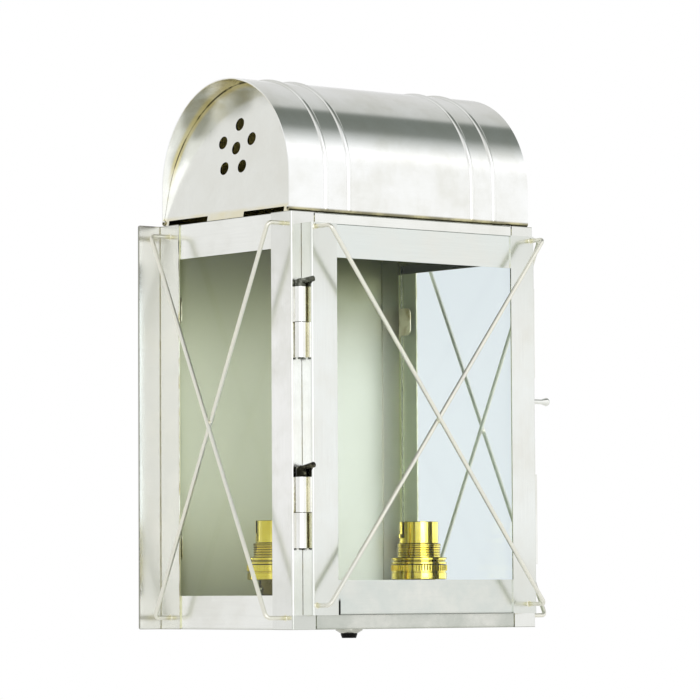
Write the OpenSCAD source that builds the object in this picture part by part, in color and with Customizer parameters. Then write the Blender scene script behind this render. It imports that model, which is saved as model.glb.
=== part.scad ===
// Wall lantern of plated sheet brass: a glazed box on a wall plate, a barrel roof on
// two leaning gables, a front door on two pinned hinges, crossed wire guards outside
// the panes, and two bayonet lampholders inside.
// The origin is the middle of the wall plate's rear face. +Z is up and -Y is the front.

/* [Body] */
// Width over the corner posts
body_w = 200; // [185:1:240]
// Depth from the wall plate's face to the front of the posts
body_d = 137.8; // [130:0.1:160]
// Height of the corner posts
body_h = 260; // [250:1:300]
// Thickness of the frame's sheet
sheet_t = 1; // [0.8:0.05:1.2]
// Inner radius of the sheet's bends
bend_inner = 0.2; // [0.1:0.05:0.4]
// Side leg of every corner post
post_side_w = 20.4; // [18:0.1:24]
// Front leg of the front posts
post_front_w = 18; // [14:0.5:20]
// Rear leg of the rear posts
post_back_w = 15.6; // [12:0.1:18]
// Height of the side rails' faces, top
side_top_h = 22.5; // [18:0.1:26]
// Height of the side rails' faces, bottom
side_bottom_h = 21.3; // [18:0.1:24]
// Height of the header behind the door's top
header_h = 24; // [16:0.5:28]
// Height of the sill behind the door's bottom
sill_h = 22; // [16:0.5:26]
// Width of the horizontal lips of the rails, header and sill
rail_lip = 14; // [10:0.5:16]
// Seam between the header or sill and the posts
seam_gap = 0.9; // [0.2:0.05:1.2]
// Length by which a lap tab reaches each way past a seam
tab_lap = 9; // [6:0.5:12]

/* [Wall plate] */
// Reach of the plate past each side of the body
flange_w = 16.7; // [10:0.1:24]
// Thickness of the plate
back_t = 1.2; // [1:0.1:2]
// Radius of the plate's corners
back_corner = 1.2; // [0.8:0.1:6]
// Distance between the two fixing holes, one above the other
fixing_pitch = 180; // [140:1:220]
// Diameter of the fixing holes
fixing_d = 5.5; // [4:0.1:7]

/* [Roof] */
// Gap between the roof's lower edge and the body's top
roof_lift = 0.5; // [0.4:0.05:3]
// Height of the straight sides below the arch
roof_side_h = 22.4; // [15:0.1:30]
// Set back of the roof's front from the body's front
roof_front_in = 3; // [1:0.1:6]
// Set back of the roof's rear from the wall plate
roof_rear_in = 1; // [1:0.1:3]
// Set back of each roof end from the body's side
roof_end_in = 1.1; // [0:0.1:3]
// Thickness of the roof's sheet
roof_t = 0.9; // [0.7:0.05:1.2]
// Outer diameter of the rolled hem along each lower edge
hem_d = 3.2; // [2.4:0.1:4]
// Hollow of the rolled hem
hem_bore = 1.4; // [1:0.1:2]
// Distance of the outer beads from the roof's ends
bead_end = 29.4; // [20:0.1:40]
// Distance between the two beads of a pair
bead_pitch = 18.6; // [10:0.1:26]
// Width of a bead
bead_w = 4; // [3:0.1:6]
// Height of a bead
bead_h = 1.2; // [0.6:0.05:1.6]

/* [Gables] */
// Lean of the gable plates from upright
gable_lean = 11.3; // [0:0.1:14]
// Set back of a gable's foot from the body's side
gable_in = 1.5; // [1.3:0.1:3]
// Running gap between a gable's edge and the roof
gable_gap = 0.15; // [0.1:0.05:0.3]
// Diameter of the vent holes
vent_d = 8.5; // [5:0.5:9]
// Radius of the ring of vent holes
vent_ring = 15.7; // [13:0.1:18]
// Number of vent holes in the ring
vent_n = 5; // [4:1:6]
// Height of the ring's centre above the gable's foot
vent_z = 46.7; // [40:0.1:50]
// Width of the two slots under a gable
slot_w = 41.5; // [20:0.5:42]
// Height of the slots
slot_h = 3.4; // [2:0.1:5]
// Width of the tab between the slots
gable_tab_w = 38; // [20:0.5:42]

/* [Glass] */
// Thickness of the panes
glass_t = 3; // [2:0.1:3.5]
// Lap of the side panes behind the posts
pane_lap = 12.9; // [8:0.1:13]
// Lap of every pane behind the rails, and of the door's pane behind its stiles
rail_pane_lap = 5.5; // [3:0.1:7]
// Thickness of the clips
clip_t = 0.8; // [0.5:0.05:1]
// Height of a clip
clip_h = 18.5; // [10:0.5:26]
// Reach of a side clip over its pane
side_clip_reach = 10.7; // [10:0.1:16]
// The same for the clips at the front posts
front_clip_reach = 8; // [6.5:0.1:12]
// Reach of a door clip over its pane
door_clip_reach = 5; // [4:0.5:9]
// Length of a clip's foot on the sheet
clip_foot = 5; // [3:0.1:5]
// Clearance of a clip from its pane
clip_gap = 0.1; // [0.05:0.05:0.3]
// Distance of the upper clips' middle from the body's top
clip_high_in = 55; // [45:1:80]
// Height of the lower clips' middle above the body's bottom
clip_low = 52.5; // [45:0.5:70]

/* [Door] */
// Set back of the door's sides from the body's sides
door_in = 8; // [8:0.1:10]
// Distance from the body's bottom to the door's bottom
door_bottom_in = 9; // [6:0.5:12]
// Distance from the body's top to the door's top
door_top_in = 7.4; // [5:0.1:10]
// Depth of the door's tray
door_d = 10.4; // [10:0.1:13]
// Gap between the closed door and the posts
door_gap = 0.3; // [0.2:0.05:0.5]
// Width of the door's stiles
stile_w = 20; // [18:0.5:24]
// Height of the door's top rail
door_top_h = 21.2; // [18:0.1:24]
// Height of the door's bottom rail
door_bottom_h = 21.7; // [18:0.1:24]

/* [Guards] */
// Diameter of the guard wire
wire_d = 2.7; // [1.8:0.1:3]
// Distance of the guards' middle from the sheet that carries them
guard_out = 13.7; // [10:0.1:18]
// Radius of the wires' bends
wire_bend = 3; // [2.4:0.1:6]
// Side guards: distance of the front feet from the body's front
guard_front_in = 7.5; // [4:0.1:12]
// Side guards: distance of the rear feet from the wall plate
guard_rear_in = 10.6; // [5:0.1:14]
// Side guards: distance of the upper feet from the body's top
guard_top_in = 7.4; // [4:0.1:12]
// Side guards: distance of the lower feet from the body's bottom
guard_bottom_in = 7.4; // [4:0.1:12]
// Door guard: distance of the feet from the door's sides
door_guard_in = 3; // [2:0.1:6]
// Door guard: the lower right foot, which was soldered further in
door_guard_low_right_in = 6.6; // [2:0.1:8]
// Door guard: distance of the upper feet from the door's top
door_guard_top_in = 2.8; // [2:0.1:8]
// Door guard: distance of the lower feet from the door's bottom
door_guard_bottom_in = 6; // [2:0.1:10]

/* [Hinges] */
// Outer diameter of the knuckles
knuckle_d = 7.2; // [6.6:0.1:7.2]
// Length of a knuckle
knuckle_l = 21.8; // [15:0.1:26]
// Gap between the two knuckles of a hinge
knuckle_gap = 0.4; // [0.3:0.05:1]
// Clearance round the knuckles
knuckle_clear = 0.3; // [0.3:0.05:0.4]
// Diameter of the hinge pins
pin_d = 3.6; // [3:0.1:4]
// Radial clearance of the pins in the knuckles
pin_clear = 0.06; // [0.03:0.01:0.1]
// Distance of the joint in the upper hinge from the body's top
hinge_high_in = 69.6; // [55:0.1:90]
// Distance of the joint in the lower hinge from the body's bottom
hinge_low_in = 72.4; // [60:0.1:90]
// Height of the upper pin's collar below its dome
upper_collar_h = 2.5; // [2:0.1:6]
// Height of the lower pin's collar below its dome
lower_collar_h = 4.4; // [2:0.1:6]
// Height of the dome over a pin's collar
pin_dome_h = 2.8; // [2.6:0.1:4]
// Reach of a pin's head from the hinge's axis
pin_head_l = 10.7; // [8:0.1:11]
// Rise of the upper pin's head above level
upper_head_rise = 8; // [0:1:20]
// Rise of the lower pin's head above level
lower_head_rise = 14; // [0:1:20]
// Reach of the pins below the lower knuckles
pin_tail = 1; // [0.5:0.1:3]
// Thickness of the hinge leaves
leaf_t = 1; // [0.8:0.1:1.2]
// Set back of the body's leaves from the posts' edges
leaf_in = 0.5; // [0:0.1:1]

/* [Latch] */
// Height of the latch knob above the body's middle
latch_up = 16; // [8:0.5:20]
// Distance of the knob's axis in front of the posts
latch_out = 4; // [3.6:0.1:4.4]
// Thickness of the leaf spring
spring_t = 0.8; // [0.6:0.05:1]
// Width of the spring's wide part
spring_w = 7.6; // [6:0.1:8]
// Width of the spring's tongue
tongue_w = 5; // [4.4:0.1:5.4]
// Length of the spring's wide part above the edge strip
spring_wide_l = 23; // [15:0.5:26]
// Length of the edge strips
strip_l = 58; // [40:0.5:62]
// Thickness of the edge strips
strip_t = 1.4; // [1:0.1:2]
// Distance of the rivets from the edge strips' ends
strip_rivet_in = 10; // [7:0.5:14]
// Distance from the knob down to the lower strip's top
strip_low_drop = 47.5; // [40:0.5:56]
// Distance from the knob up to the upper strip's bottom
strip_high_rise = 15; // [12:0.5:20]
// Diameter of the knob's stem
stem_d = 3.2; // [2.6:0.1:3.6]
// Diameter of the knob's flared end
knob_d = 5.4; // [4.6:0.1:7]
// Length of the knob past the spring
knob_l = 17; // [12:0.1:20]
// Diameter of the nib behind the knob
nib_d = 3; // [2.4:0.1:3.2]
// Length of the nib behind the spring
nib_l = 6.4; // [6:0.1:6.6]
// Clearance of the nib in its hole and in the keeper's slot
nib_gap = 0.5; // [0.45:0.05:0.8]
// Diameter of the rivets' shanks
rivet_d = 2; // [1.6:0.1:2.4]
// Thickness of the keeper
keeper_t = 1.2; // [1:0.1:1.4]
// Height of the keeper past each end of its slot
keeper_end = 5; // [3:0.5:8]
// Width of the keeper's foot on the post
keeper_foot = 4; // [3:0.5:5]

/* [Lampholders] */
// Distance between the two lampholders
lamp_pitch = 116.3; // [100:0.1:124]
// Inner diameter of a barrel, for a bayonet cap
socket_d = 22.5; // [22.4:0.1:22.8]
// Outer diameter of a barrel
barrel_d = 25.7; // [25.2:0.1:26.4]
// Diameter over the threaded skirt
thread_d = 28.6; // [28.4:0.1:29.4]
// Diameter over the shade rings and the cap
ring_d = 36.4; // [34:0.1:40]
// Height of a lampholder's top above the body's bottom
lamp_top_z = 69; // [66:0.1:72]
// Height of a barrel above its threaded skirt
barrel_h = 14.4; // [13.5:0.1:16]
// Height of the skirt's thread above the upper shade ring
thread_h = 9; // [7:0.1:9.5]
// Turn of the left lampholder's J slots from the X axis
lamp_turn_left = 162; // [90:1:180]
// The same for the right lampholder
lamp_turn_right = 178; // [90:1:180]
// Width of the J slots
jslot_w = 2.4; // [2.2:0.1:2.8]
// Depth of the J slots from the barrel's top
jslot_h = 10.6; // [9.5:0.1:11]
// Arc of the J slots' lower legs
jslot_arc = 30; // [22:1:34]
// Height of the seats at the J slots' ends, where a lamp's pins rest
jslot_seat_h = 4.6; // [3:0.1:6]
// Diameter of the contact plungers
plunger_d = 4.4; // [3.6:0.1:4.6]
// Distance between the two plungers of a lampholder
plunger_pitch = 9.6; // [8.6:0.1:11]
// Height of the plungers above the insulator
plunger_up = 5; // [4.5:0.1:6]
// Radial clearance of the plungers
plunger_clear = 0.06; // [0.03:0.01:0.1]
// Outer diameter of the hollow nipples
nipple_d = 10; // [9:0.1:10.4]
// Bore of the hollow nipples
nipple_bore = 7; // [6:0.1:7.4]

/* [Bracket and wiring] */
// Height of the bracket's top above the floor
bracket_h = 12; // [11.5:0.1:13]
// Distance of the bracket's feet from the body's sides
bracket_end_gap = 6; // [4:0.5:14]
// Width of the bracket
bracket_w = 34; // [30:0.5:40]
// Length of the bracket's feet
bracket_foot = 9; // [7:0.5:10]
// Distance of the bracket's rivets from its edges
bracket_rivet_in = 6; // [4:0.5:9]
// Across flats of the nipple nuts
nut_af = 14; // [13:0.1:16]
// Thickness of the nipple nuts
nut_h = 3; // [2:0.1:3.2]
// Length of the terminal block
block_l = 24; // [21:0.5:28]
// Width of the terminal block
block_w = 13; // [10:0.5:14]
// Height of the terminal block
block_h = 9.5; // [8:0.1:10]
// Distance of the terminal block from the gland
block_x = 24; // [20:0.5:25]
// Diameter of the internal leads
lead_d = 2.2; // [1.6:0.1:2.4]
// Height of the leads above the floor
lead_rise = 3; // [2.5:0.1:3.4]
// Radius of the leads' bends up into the nipples
lead_bend = 4; // [3.5:0.1:4.2]
// Diameter of the earth stud
earth_d = 4; // [3:0.5:5]
// Height of the earth stud
earth_h = 8; // [6:0.5:9]
// Distance of the earth stud from the gland
earth_x = 42; // [40:0.5:46]

/* [Cable gland] */
// Diameter of the gland's metal flange
gland_flange_d = 17.4; // [15:0.1:20]
// Depth of the flange below the body's bottom
gland_flange_down = 3.2; // [2:0.1:5]
// Depth of the flange's straight rim
gland_rim_h = 1.5; // [0.8:0.1:1.8]
// Diameter of the flange's lower end
gland_flange_low_d = 11.6; // [11:0.1:14]
// Diameter of the gland's black body
gland_d = 10.8; // [10.6:0.1:11]
// Diameter of the black body's lower end
gland_low_d = 9.2; // [8.8:0.1:10.4]
// Depth of the black body below the flange
gland_down = 3.2; // [2:0.1:8]
// Diameter of the gland's thread
gland_thread_d = 10; // [9:0.1:10.2]
// Bore for the cable
gland_bore = 7.2; // [5:0.1:7.4]
// Across flats of the gland's nut
gland_nut_af = 15; // [13:0.5:16]
// Thickness of the gland's nut
gland_nut_h = 4; // [3:0.1:4.5]

/* [Hidden] */
$fn = 64;

// Left and right, as signs of X
LEFT = -1;
RIGHT = 1;
// A small reach past a face, so that a cut goes clean through
cut = 1;
// Clearance of pieces that are dropped in place
fit = 0.3;

left_x = -body_w / 2;
bottom_z = -body_h / 2;
top_z = body_h / 2;
back_y = -back_t;
front_y = back_y - body_d;
bend_r = sheet_t + bend_inner;

door_half = body_w / 2 - door_in;
door_left = -door_half;
door_face_y = front_y - door_d;
door_bottom = bottom_z + door_bottom_in;
door_top = top_z - door_top_in;
door_h = door_top - door_bottom;
return_d = door_d - door_gap;
door_glass_y = door_face_y + 2 * sheet_t;

roof_front_y = front_y + roof_front_in;
roof_rear_y = back_y - roof_rear_in;
roof_r = (roof_rear_y - roof_front_y) / 2;
roof_y = (roof_rear_y + roof_front_y) / 2;
roof_z = top_z + roof_lift;
arch_z = roof_z + roof_side_h;
roof_l = body_w - 2 * roof_end_in;
bead_r = (bead_w * bead_w / 4 + bead_h * bead_h) / (2 * bead_h);

hinge_x = door_left - knuckle_clear - knuckle_d / 2;
hinge_y = front_y - knuckle_clear - knuckle_d / 2;
hinge_high = top_z - hinge_high_in;
hinge_low = bottom_z + hinge_low_in;
pin_angle = -77;
// A pin's collar is a little slimmer than the knuckle, and its head starts inside the dome
pin_collar_in = 0.2;
pin_head_up = 0.55;
pin_chamfer = 0.3;

floor_z = bottom_z + 2 * sheet_t;
bracket_z = floor_z + bracket_h;
bracket_l = body_w - 2 * (bracket_end_gap + bracket_foot);
lamp_y = front_y + body_d / 2;
lamp_top = bottom_z + lamp_top_z;
skirt_top = lamp_top - barrel_h;
ring_top = skirt_top - thread_h;
// Heights of the two shade rings and of the groove between them
upper_ring_h = 2.9;
lower_ring_h = 1.3;
ring_seam = 0.2;
cap_top = ring_top - upper_ring_h - lower_ring_h - 2 * ring_seam;
cap_h = 9.8;
cap_bottom = cap_top - cap_h;
base_h = 5;
neck_h = 1.2;
collar_h = 3.8;
// Radii of the cap's base: its neck, its foot and its shoulder
neck_r = 9;
foot_r = 10;
shoulder_r = 11;
cap_wall = 2;
rim_h = 4.2;
flange_t = 1.5;
waist_in = 0.9;
// Radial clearance of a nut or a cap on its thread
thread_clear = 0.05;
insulator_top = skirt_top - 1.8;
insulator_h = 16;
// Depths of the insulator's plunger wells and lead holes, from its top and its bottom
well_h = 11.5;
lead_hole_h = 3;
plunger_l = 11.8;
plunger_round = 1.2;
// Pitch of the skirt's thread, and the depth and width of its groove
thread_pitch = 1.4;
thread_cut = 0.35;
nipple_bottom = bracket_z - sheet_t - nut_h - 1;
base_bottom = cap_bottom - base_h - neck_h - collar_h;
nut_top = bracket_z + nut_h;
earth_nut_af = 2 * earth_d;
earth_nut_h = 0.6 * earth_d;

clip_corner = 4;
clip_heights = [bottom_z + clip_low, top_z - clip_high_in];

spring_x = door_half + 0.1;
knob_z = (bottom_z + top_z) / 2 + latch_up;
spring_foot_top = knob_z - strip_low_drop;
strip_low = spring_foot_top - strip_l;
strip_high = knob_z + strip_high_rise;
latch_y = front_y - latch_out;
strip_rivets = [strip_rivet_in, strip_l - strip_rivet_in];
// Radial clearance of a rivet in its hole
rivet_clear = 0.05;
rivet_hole_d = rivet_d + 2 * rivet_clear;
rivet_head_d = 2 * rivet_d;
rivet_head_h = 0.45 * rivet_d;
// Reach of the nib past the keeper, and of the keeper in front of the nib
nib_hold = 1;
keeper_front = 2;

function smooth(t) = t * t * (3 - 2 * t);
function unit(v) = v / norm(v);

// One side's piece, drawn on the left and mirrored for the right
module on_side(side) {
    if (side == RIGHT) mirror([1, 0, 0]) children();
    else children();
}

// Section of bent sheet with its outer corner at the origin
module angle_2d(a, b) {
    translate([bend_r, 0]) square([a - bend_r, sheet_t]);
    translate([0, bend_r]) square([sheet_t, b - bend_r]);
    intersection() {
        square(bend_r);
        difference() {
            translate([bend_r, bend_r]) circle(bend_r);
            translate([bend_r, bend_r]) circle(bend_inner);
        }
    }
}

// A bar of any section along X, Y up the section's x and Z up its y
module along_x(length) {
    rotate([90, 0, 90]) linear_extrude(length) children();
}

// A bar of any section along -Y, X along the section's x and Z up its y
module along_y(length) {
    rotate([90, 0, 0]) linear_extrude(length) children();
}

module rounded_2d(w, h, r) {
    square([w - 2 * r, h], center = true);
    square([w, h - 2 * r], center = true);
    for (x = [-1, 1], y = [-1, 1])
        translate([x * (w / 2 - r), y * (h / 2 - r)]) circle(r);
}

module tube(h, d, bore) {
    difference() {
        cylinder(h = h, d = d);
        translate([0, 0, -cut]) cylinder(h = h + 2 * cut, d = bore);
    }
}

module hex_nut(h, af, bore) {
    difference() {
        cylinder(h = h, d = af / cos(30), $fn = 6);
        translate([0, 0, -cut]) cylinder(h = h + 2 * cut, d = bore);
    }
}

// Body

module backplate() {
    color("gainsboro") difference() {
        along_y(back_t) rounded_2d(body_w + 2 * flange_w, body_h, back_corner);
        for (z = [-1, 1])
            translate([0, cut, z * fixing_pitch / 2]) rotate([90, 0, 0])
                cylinder(h = back_t + 2 * cut, d = fixing_d);
    }
}

module post_front(side) {
    color("gainsboro") on_side(side)
        translate([left_x, front_y, bottom_z]) linear_extrude(body_h)
            angle_2d(post_front_w, post_side_w);
}

module post_rear(side) {
    color("gainsboro") on_side(side)
        translate([left_x, back_y, bottom_z]) mirror([0, 1, 0]) linear_extrude(body_h)
            angle_2d(post_back_w, post_side_w);
}

module rail_top(side) {
    color("gainsboro") on_side(side)
        translate([left_x + sheet_t, back_y - bend_r, top_z])
            along_y(body_d - 2 * bend_r) mirror([0, 1]) angle_2d(rail_lip, side_top_h);
}

module rail_bottom(side) {
    color("gainsboro") on_side(side)
        translate([left_x + sheet_t, back_y - bend_r, bottom_z])
            along_y(body_d - 2 * bend_r) angle_2d(rail_lip, side_bottom_h);
}

// Header or sill face with its two lap tabs, drawn upwards from z = 0
module cross_strip(h) {
    half = body_w / 2 - post_front_w - seam_gap;
    translate([-half, front_y, 0]) along_x(2 * half) angle_2d(rail_lip, h);
    for (side = [LEFT, RIGHT])
        on_side(side)
            translate([-half - seam_gap - tab_lap, front_y + sheet_t, 2 * sheet_t])
                cube([seam_gap + 2 * tab_lap, sheet_t, h - 3 * sheet_t]);
}

module header() {
    color("gainsboro") translate([0, 0, top_z]) mirror([0, 0, 1]) cross_strip(header_h);
}

module sill() {
    color("gainsboro") translate([0, 0, bottom_z]) cross_strip(sill_h);
}

module bracket_rivet_places() {
    for (x = [-1, 1], y = [-1, 1])
        translate([x * (bracket_l + bracket_foot) / 2, lamp_y + y * (bracket_w / 2 - bracket_rivet_in), 0])
            children();
}

module floor_plate() {
    side_gap = 2 * sheet_t + fit;
    front = front_y + 2 * sheet_t + fit;
    rear = back_y - bend_r - fit;
    color("silver") difference() {
        translate([left_x + side_gap, front, floor_z - sheet_t])
            cube([body_w - 2 * side_gap, rear - front, sheet_t]);
        translate([0, lamp_y, floor_z - sheet_t - cut])
            cylinder(h = sheet_t + 2 * cut, d = gland_thread_d + fit);
        bracket_rivet_places() translate([0, 0, floor_z - sheet_t - cut])
            cylinder(h = sheet_t + 2 * cut, d = rivet_hole_d);
    }
}

// Roof

// The arch's outline, taken in by some distance, with its foot at z = foot
module arch_2d(inwards, foot) {
    intersection() {
        union() {
            translate([roof_y, arch_z]) circle(roof_r - inwards, $fn = 128);
            translate([roof_y - roof_r + inwards, foot])
                square([2 * (roof_r - inwards), arch_z - foot]);
        }
        translate([roof_y - roof_r, foot]) square([2 * roof_r, arch_z + roof_r - foot]);
    }
}

// Section of a raised bead: x is the distance from the arch's axis
module bead_2d() {
    intersection() {
        translate([roof_r + bead_h - bead_r, 0]) circle(bead_r);
        translate([roof_r - roof_t, -bead_w]) square([roof_t + bead_h + cut, 2 * bead_w]);
    }
}

module bead() {
    translate([0, roof_y, arch_z]) rotate([90, 0, 90]) rotate_extrude(angle = 180, $fn = 128) bead_2d();
    for (turn = [-90, 90])
        translate([0, roof_y, roof_z + hem_d / 2]) rotate([0, 0, turn])
            linear_extrude(roof_side_h - hem_d / 2) bead_2d();
}

// The middle of each rolled hem, in the arch's outline
module hem_places() {
    for (s = [-1, 1])
        translate([roof_y + s * (roof_r - hem_d / 2), roof_z + hem_d / 2]) children();
}

module roof() {
    color("lightgray") {
        translate([-roof_l / 2, 0, 0]) along_x(roof_l) difference() {
            union() {
                difference() {
                    arch_2d(0, roof_z + hem_d / 2);
                    arch_2d(roof_t, roof_z - cut);
                }
                hem_places() circle(d = hem_d);
            }
            hem_places() circle(d = hem_bore);
        }
        for (side = [-1, 1], k = [0, 1])
            translate([side * (roof_l / 2 - bead_end - k * bead_pitch), 0, 0]) bead();
    }
}

module gable(side) {
    color("lightgray") on_side(side) intersection() {
        translate([left_x, 0, 0]) along_x(body_w / 2) difference() {
            arch_2d(roof_t + gable_gap, top_z);
            hem_places() circle(d = hem_d + 2 * gable_gap);
        }
        translate([left_x + gable_in, roof_y, top_z]) rotate([0, gable_lean, 0]) difference() {
            translate([0, -roof_r, -cut]) cube([sheet_t, 2 * roof_r, 2 * (roof_side_h + roof_r)]);
            for (s = [-1, 1])
                translate([-cut, s * (gable_tab_w + slot_w) / 2 - slot_w / 2, -2 * cut])
                    cube([sheet_t + 2 * cut, slot_w, slot_h + 2 * cut]);
            translate([-cut, 0, vent_z]) rotate([0, 90, 0]) {
                cylinder(h = sheet_t + 2 * cut, d = vent_d);
                for (k = [0 : vent_n - 1])
                    rotate([0, 0, 180 + k * 360 / vent_n]) translate([vent_ring, 0, 0])
                        cylinder(h = sheet_t + 2 * cut, d = vent_d);
            }
        }
    }
}

// Panes and clips

module pane(side) {
    y0 = front_y + post_side_w - pane_lap;
    y1 = back_y - post_side_w + pane_lap;
    z0 = bottom_z + side_bottom_h - rail_pane_lap;
    z1 = top_z - side_top_h + rail_pane_lap;
    color("lightcyan", 0.4) on_side(side)
        translate([left_x + 2 * sheet_t, y0, z0]) cube([glass_t, y1 - y0, z1 - z0]);
}

// A bent clip: its foot lies on the sheet at y = 0 and runs to -X from a pane's edge
// at x = 0, and its arm lies over the pane, whose near face is at y = rise
module clip(rise, reach) {
    over = rise + glass_t + clip_gap;
    edge = -fit;
    foot_room = 2 * (clip_foot + clip_corner);
    intersection() {
        linear_extrude(clip_h, center = true) {
            translate([edge - clip_t - clip_foot, 0]) square([clip_foot + clip_t, clip_t]);
            translate([edge - clip_t, 0]) square([clip_t, over + clip_t]);
            translate([edge - clip_t, over]) square([reach - edge + clip_t, clip_t]);
        }
        translate([(reach - foot_room) / 2, 0, 0]) rotate([-90, 0, 0])
            linear_extrude(over + 2 * clip_t) rounded_2d(reach + foot_room, clip_h, clip_corner);
    }
}

module pane_clips() {
    color("silver") for (side = [LEFT, RIGHT], z = clip_heights) on_side(side) {
        translate([left_x + sheet_t, back_y - post_side_w + pane_lap, z])
            rotate([0, 0, -90]) clip(sheet_t, side_clip_reach);
        translate([left_x + sheet_t, front_y + post_side_w - pane_lap, z])
            mirror([0, 1, 0]) rotate([0, 0, -90]) clip(sheet_t, front_clip_reach);
    }
}

module door_pane() {
    half = door_half - stile_w + rail_pane_lap;
    z0 = door_bottom + door_bottom_h - rail_pane_lap;
    z1 = door_top - door_top_h + rail_pane_lap;
    color("lightcyan", 0.4) translate([-half, door_glass_y, z0]) cube([2 * half, glass_t, z1 - z0]);
}

// Two clips on each rail, with their feet on the rail's inner face
module door_clips() {
    low_edge = door_bottom + door_bottom_h - rail_pane_lap;
    high_edge = door_top - door_top_h + rail_pane_lap;
    color("silver") for (side = [LEFT, RIGHT]) on_side(side)
        translate([door_left / 2, door_glass_y, 0]) {
            translate([0, 0, low_edge]) rotate([0, -90, 0]) clip(0, door_clip_reach);
            translate([0, 0, high_edge]) rotate([0, 90, 0]) clip(0, door_clip_reach);
        }
}

// Guards

// A wire with both ends bent down: feet at x = 0 and x = span, bar at z = out
module staple(span, out) {
    for (x = [0, span]) translate([x, 0, 0]) cylinder(h = out - wire_bend, d = wire_d);
    translate([wire_bend, 0, out]) rotate([0, 90, 0]) cylinder(h = span - 2 * wire_bend, d = wire_d);
    for (x = [0, 1])
        translate([wire_bend + x * (span - 2 * wire_bend), 0, out - wire_bend])
            rotate([90, 0, 0]) rotate([0, 0, 90 - 90 * x])
                rotate_extrude(angle = 90) translate([wire_bend, 0]) circle(d = wire_d);
}

module guard_wire(p, q, out) {
    translate([p[0], p[1], 0]) rotate(atan2(q[1] - p[1], q[0] - p[0])) staple(norm(q - p), out);
}

// Two crossed wires, soldered where they cross
module crossed_wires(low_a, high_a, low_b, high_b) {
    apart = wire_d - 0.2;
    guard_wire(low_a, high_a, guard_out + apart / 2);
    guard_wire(low_b, high_b, guard_out - apart / 2);
}

module side_guard(side) {
    near = -(front_y + guard_front_in);
    far = -(back_y - guard_rear_in);
    low = bottom_z + guard_bottom_in;
    high = top_z - guard_top_in;
    color("whitesmoke") on_side(side) translate([left_x, 0, 0]) rotate([0, 0, -90]) rotate([90, 0, 0])
        crossed_wires([near, low], [far, high], [far, low], [near, high]);
}

module door_guard() {
    side = door_half - door_guard_in;
    low_right = door_half - door_guard_low_right_in;
    low = door_bottom + door_guard_bottom_in;
    high = door_top - door_guard_top_in;
    color("whitesmoke") translate([0, door_face_y, 0]) rotate([90, 0, 0])
        crossed_wires([low_right, low], [-side, high], [-side, low], [side, high]);
}

// Hinges

// Bottom of the upper or lower knuckle at a hinge's joint height
function knuckle_bottom(joint, upper) =
    joint + (upper ? knuckle_gap / 2 : -knuckle_gap / 2 - knuckle_l);

module knuckle(joint, upper) {
    translate([0, 0, knuckle_bottom(joint, upper)]) difference() {
        union() {
            translate([hinge_x, hinge_y, 0]) cylinder(h = knuckle_l, d = knuckle_d);
            children();
        }
        translate([hinge_x, hinge_y, -cut]) cylinder(h = knuckle_l + 2 * cut, d = pin_d + 2 * pin_clear);
    }
}

// A leaf on the front post, against its face
module body_leaf() {
    translate([left_x + leaf_in, front_y - leaf_t, 0])
        cube([hinge_x + knuckle_d / 3 - left_x - leaf_in, leaf_t, knuckle_l]);
}

// A leaf on the door's return
module door_leaf() {
    translate([door_left - leaf_t, door_face_y + bend_r, 0])
        cube([leaf_t, hinge_y - door_face_y - bend_r, knuckle_l]);
}

module hinge_body_halves() {
    color("whitesmoke") {
        knuckle(hinge_high, true) body_leaf();
        knuckle(hinge_low, false) body_leaf();
    }
}

module hinge_door_halves() {
    color("whitesmoke") {
        knuckle(hinge_high, false) door_leaf();
        knuckle(hinge_low, true) door_leaf();
    }
}

// A pull-out pin: shank, domed collar on the knuckle, and a head that points forward
module hinge_pin(joint, collar_h, rise) {
    bottom = knuckle_bottom(joint, false) - pin_tail;
    top = knuckle_bottom(joint, true) + knuckle_l;
    collar_r = knuckle_d / 2 - pin_collar_in;
    color("dimgray") translate([hinge_x, hinge_y, 0]) rotate([0, 0, pin_angle]) {
        translate([0, 0, bottom]) cylinder(h = top + cut - bottom, d = pin_d);
        translate([0, 0, top]) rotate_extrude() polygon(concat(
            [[0, 0], [collar_r, 0]],
            [for (a = [0 : 15 : 75]) [collar_r * cos(a), collar_h + pin_dome_h * sin(a)]],
            [[0, collar_h + pin_dome_h]]
        ));
        translate([0, 0, top + collar_h + pin_head_up]) rotate([0, 90 - rise, 0]) {
            cylinder(h = pin_head_l - pin_chamfer, d = pin_d);
            translate([0, 0, pin_head_l - pin_chamfer])
                cylinder(h = pin_chamfer, d1 = pin_d, d2 = pin_d - 2 * pin_chamfer);
        }
    }
}

// Door frame

module door_stile(side) {
    color("gainsboro") on_side(side) difference() {
        translate([door_left, door_face_y, door_bottom]) linear_extrude(door_h)
            angle_2d(stile_w, return_d);
        if (side == RIGHT) {
            translate([door_left - cut, latch_y, knob_z]) rotate([0, 90, 0])
                cylinder(h = sheet_t + 2 * cut, d = nib_d + 2 * nib_gap);
            rivet_places() rotate([0, 90, 0])
                cylinder(h = sheet_t + 2 * cut, d = rivet_hole_d);
        }
    }
}

// Door rail drawn down from its top edge at z = 0
module door_rail(h) {
    half = door_half - bend_r;
    translate([-half, door_face_y + sheet_t, 0]) along_x(2 * half)
        mirror([0, 1]) angle_2d(return_d - sheet_t, h);
}

module door_rail_top() {
    color("gainsboro") translate([0, 0, door_top]) door_rail(door_top_h);
}

module door_rail_bottom() {
    color("gainsboro") translate([0, 0, door_bottom]) mirror([0, 0, 1]) door_rail(door_bottom_h);
}

// Latch, drawn on the left and mirrored to the door's right edge

strip_y = door_face_y + bend_r + fit;

module rivet_places() {
    for (z = [strip_low, strip_high], k = strip_rivets)
        translate([door_left - cut, strip_y + spring_w / 2, z + k]) children();
}

// Outward distance of a strip's inner face from the door's return
function strip_in(low) = low ? spring_x + spring_t - door_half : 0;

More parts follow.
